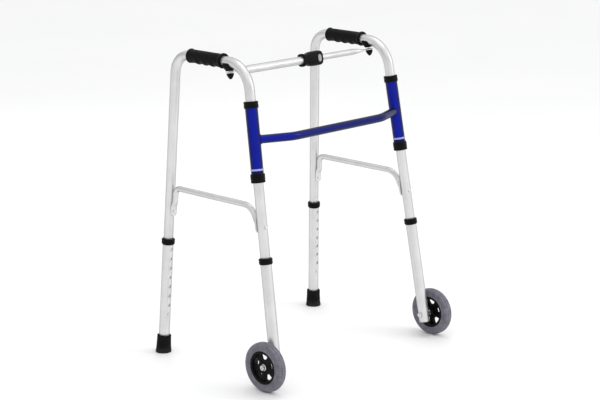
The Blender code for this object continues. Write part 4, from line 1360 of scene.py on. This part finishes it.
def studio_sky():
    """Soft room light: greys by height, dimmer on the side to the left of the photograph's view."""
    world = bpy.data.worlds.new("studio")
    bpy.context.scene.world = world
    world.use_nodes = True
    tree = world.node_tree
    background = tree.nodes["Background"]
    way = tree.nodes.new("ShaderNodeTexCoord")

    height = tree.nodes.new("ShaderNodeSeparateXYZ")
    ramp = tree.nodes.new("ShaderNodeValToRGB")
    stops = ((0.0, (0.90, 0.905, 0.91)), (0.13, (0.88, 0.885, 0.89)), (0.24, (0.62, 0.63, 0.645)),
             (0.60, (1.0, 1.0, 1.0)))
    steps = ramp.color_ramp.elements
    steps[1].position = stops[-1][0]
    for position, _ in stops[1:-1]:
        steps.new(position)
    for step, (_, colour) in zip(steps, stops):
        step.color = (*colour, 1.0)
    tree.links.new(way.outputs["Generated"], height.inputs["Vector"])
    tree.links.new(height.outputs["Z"], ramp.inputs["Fac"])
    tree.links.new(ramp.outputs["Color"], background.inputs["Color"])

    dim_side = (-0.69, 0.72, 0.0)
    bright, dim = 1.32, 0.84
    aside = tree.nodes.new("ShaderNodeVectorMath")
    aside.operation = "DOT_PRODUCT"
    aside.inputs[1].default_value = dim_side
    strength = tree.nodes.new("ShaderNodeMapRange")
    for socket, value in {"From Min": -1.0, "From Max": 1.0, "To Min": bright, "To Max": dim}.items():
        strength.inputs[socket].default_value = value
    tree.links.new(way.outputs["Generated"], aside.inputs[0])
    tree.links.new(aside.outputs["Value"], strength.inputs["Value"])
    tree.links.new(strength.outputs["Result"], background.inputs["Strength"])


def photo_camera():
    """The photograph's viewing angle."""
    azimuth, elevation, distance = math.radians(-46.2), math.radians(13.74), 4.646
    aim = Vector((0.0, 0.004, 0.401))
    back = Vector((math.sin(azimuth) * math.cos(elevation), -math.cos(azimuth) * math.cos(elevation),
                   math.sin(elevation)))
    data = bpy.data.cameras.new("camera")
    data.lens = 105.7
    data.sensor_width = 36.0
    camera = bpy.data.objects.new("camera", data)
    camera.location = aim + back * distance
    camera.rotation_mode = "QUATERNION"
    camera.rotation_quaternion = (-back).to_track_quat("-Z", "Y")
    bpy.context.scene.collection.objects.link(camera)
    bpy.context.scene.camera = camera


def studio():
    studio_ground()
    studio_sky()
    area_light("overhead", (0.3, -0.2, 3.4), (0.0, 0.0, 0.2), (1.3, 1.3), 13.0)
    area_light("key", (2.0, -2.8, 2.1), (0.0, 0.0, 0.45), (0.9, 1.8), 15.0)
    area_light("fill", (-2.9, -1.0, 1.8), (0.0, 0.0, 0.4), (1.2, 1.6), 1.5)
    area_light("back", (1.2, 3.0, 1.8), (0.0, 0.0, 0.5), (1.6, 1.2), 6.0)
    photo_camera()
    settings = bpy.context.scene.view_settings
    settings.view_transform = "Standard"
    settings.look = "None"


# ---- everything ------------------------------------------------------------------------------------
SIDE = {name: Side(name) for name in SIGNS}

for side in SIDE.values():
    front_sleeve(side)
    sleeve_cap(side, "top", 1.0)
    sleeve_cap(side, "bottom", -1.0)
    side_tube(side)
    handgrip(side)
    side_brace(side)
    stay_bracket(side)
    for end, line, towards in (("rear", side.rear, 1.0), ("front", side.front, -1.0)):
        brace_rivet(side, end, line, towards)
        leg_tube(side, end, line, towards)
        leg_collar(side, end, line)
        snap_button(side, end, line, towards)
    rubber_tip(side)
    tyre(side)
    wheel_rim(side)
    axle_bolt(side)
    spacer_r = side.axle.girth(f"wheel_spacer_{side.name}")
    axle_sleeve(side, "wheel_spacer", spacer_r, 0.0006, "steel", "front_leg")
    axle_sleeve(side, "wheel_bush", 0.0063, 0.0003, "brass", "wheel")
    axle_nut(side)

crossbar()
stay_tube("stay_outer_tube", SIDE["right"], STAY_OUTER_END_X, STAY_OUTER_R, STAY_BORE_R, "stay_outer")
stay_tube("stay_inner_tube", SIDE["left"], STAY_INNER_END_X, STAY_INNER_R, STAY_INNER_BORE_R, "stay_inner")
for name, body in (("right", "stay_pivot"), ("left", "stay_inner")):
    stay_pin(SIDE[name], body)
    stay_knob(SIDE[name], body)
lock_housing()
lock_button()
stay_bush()
studio()
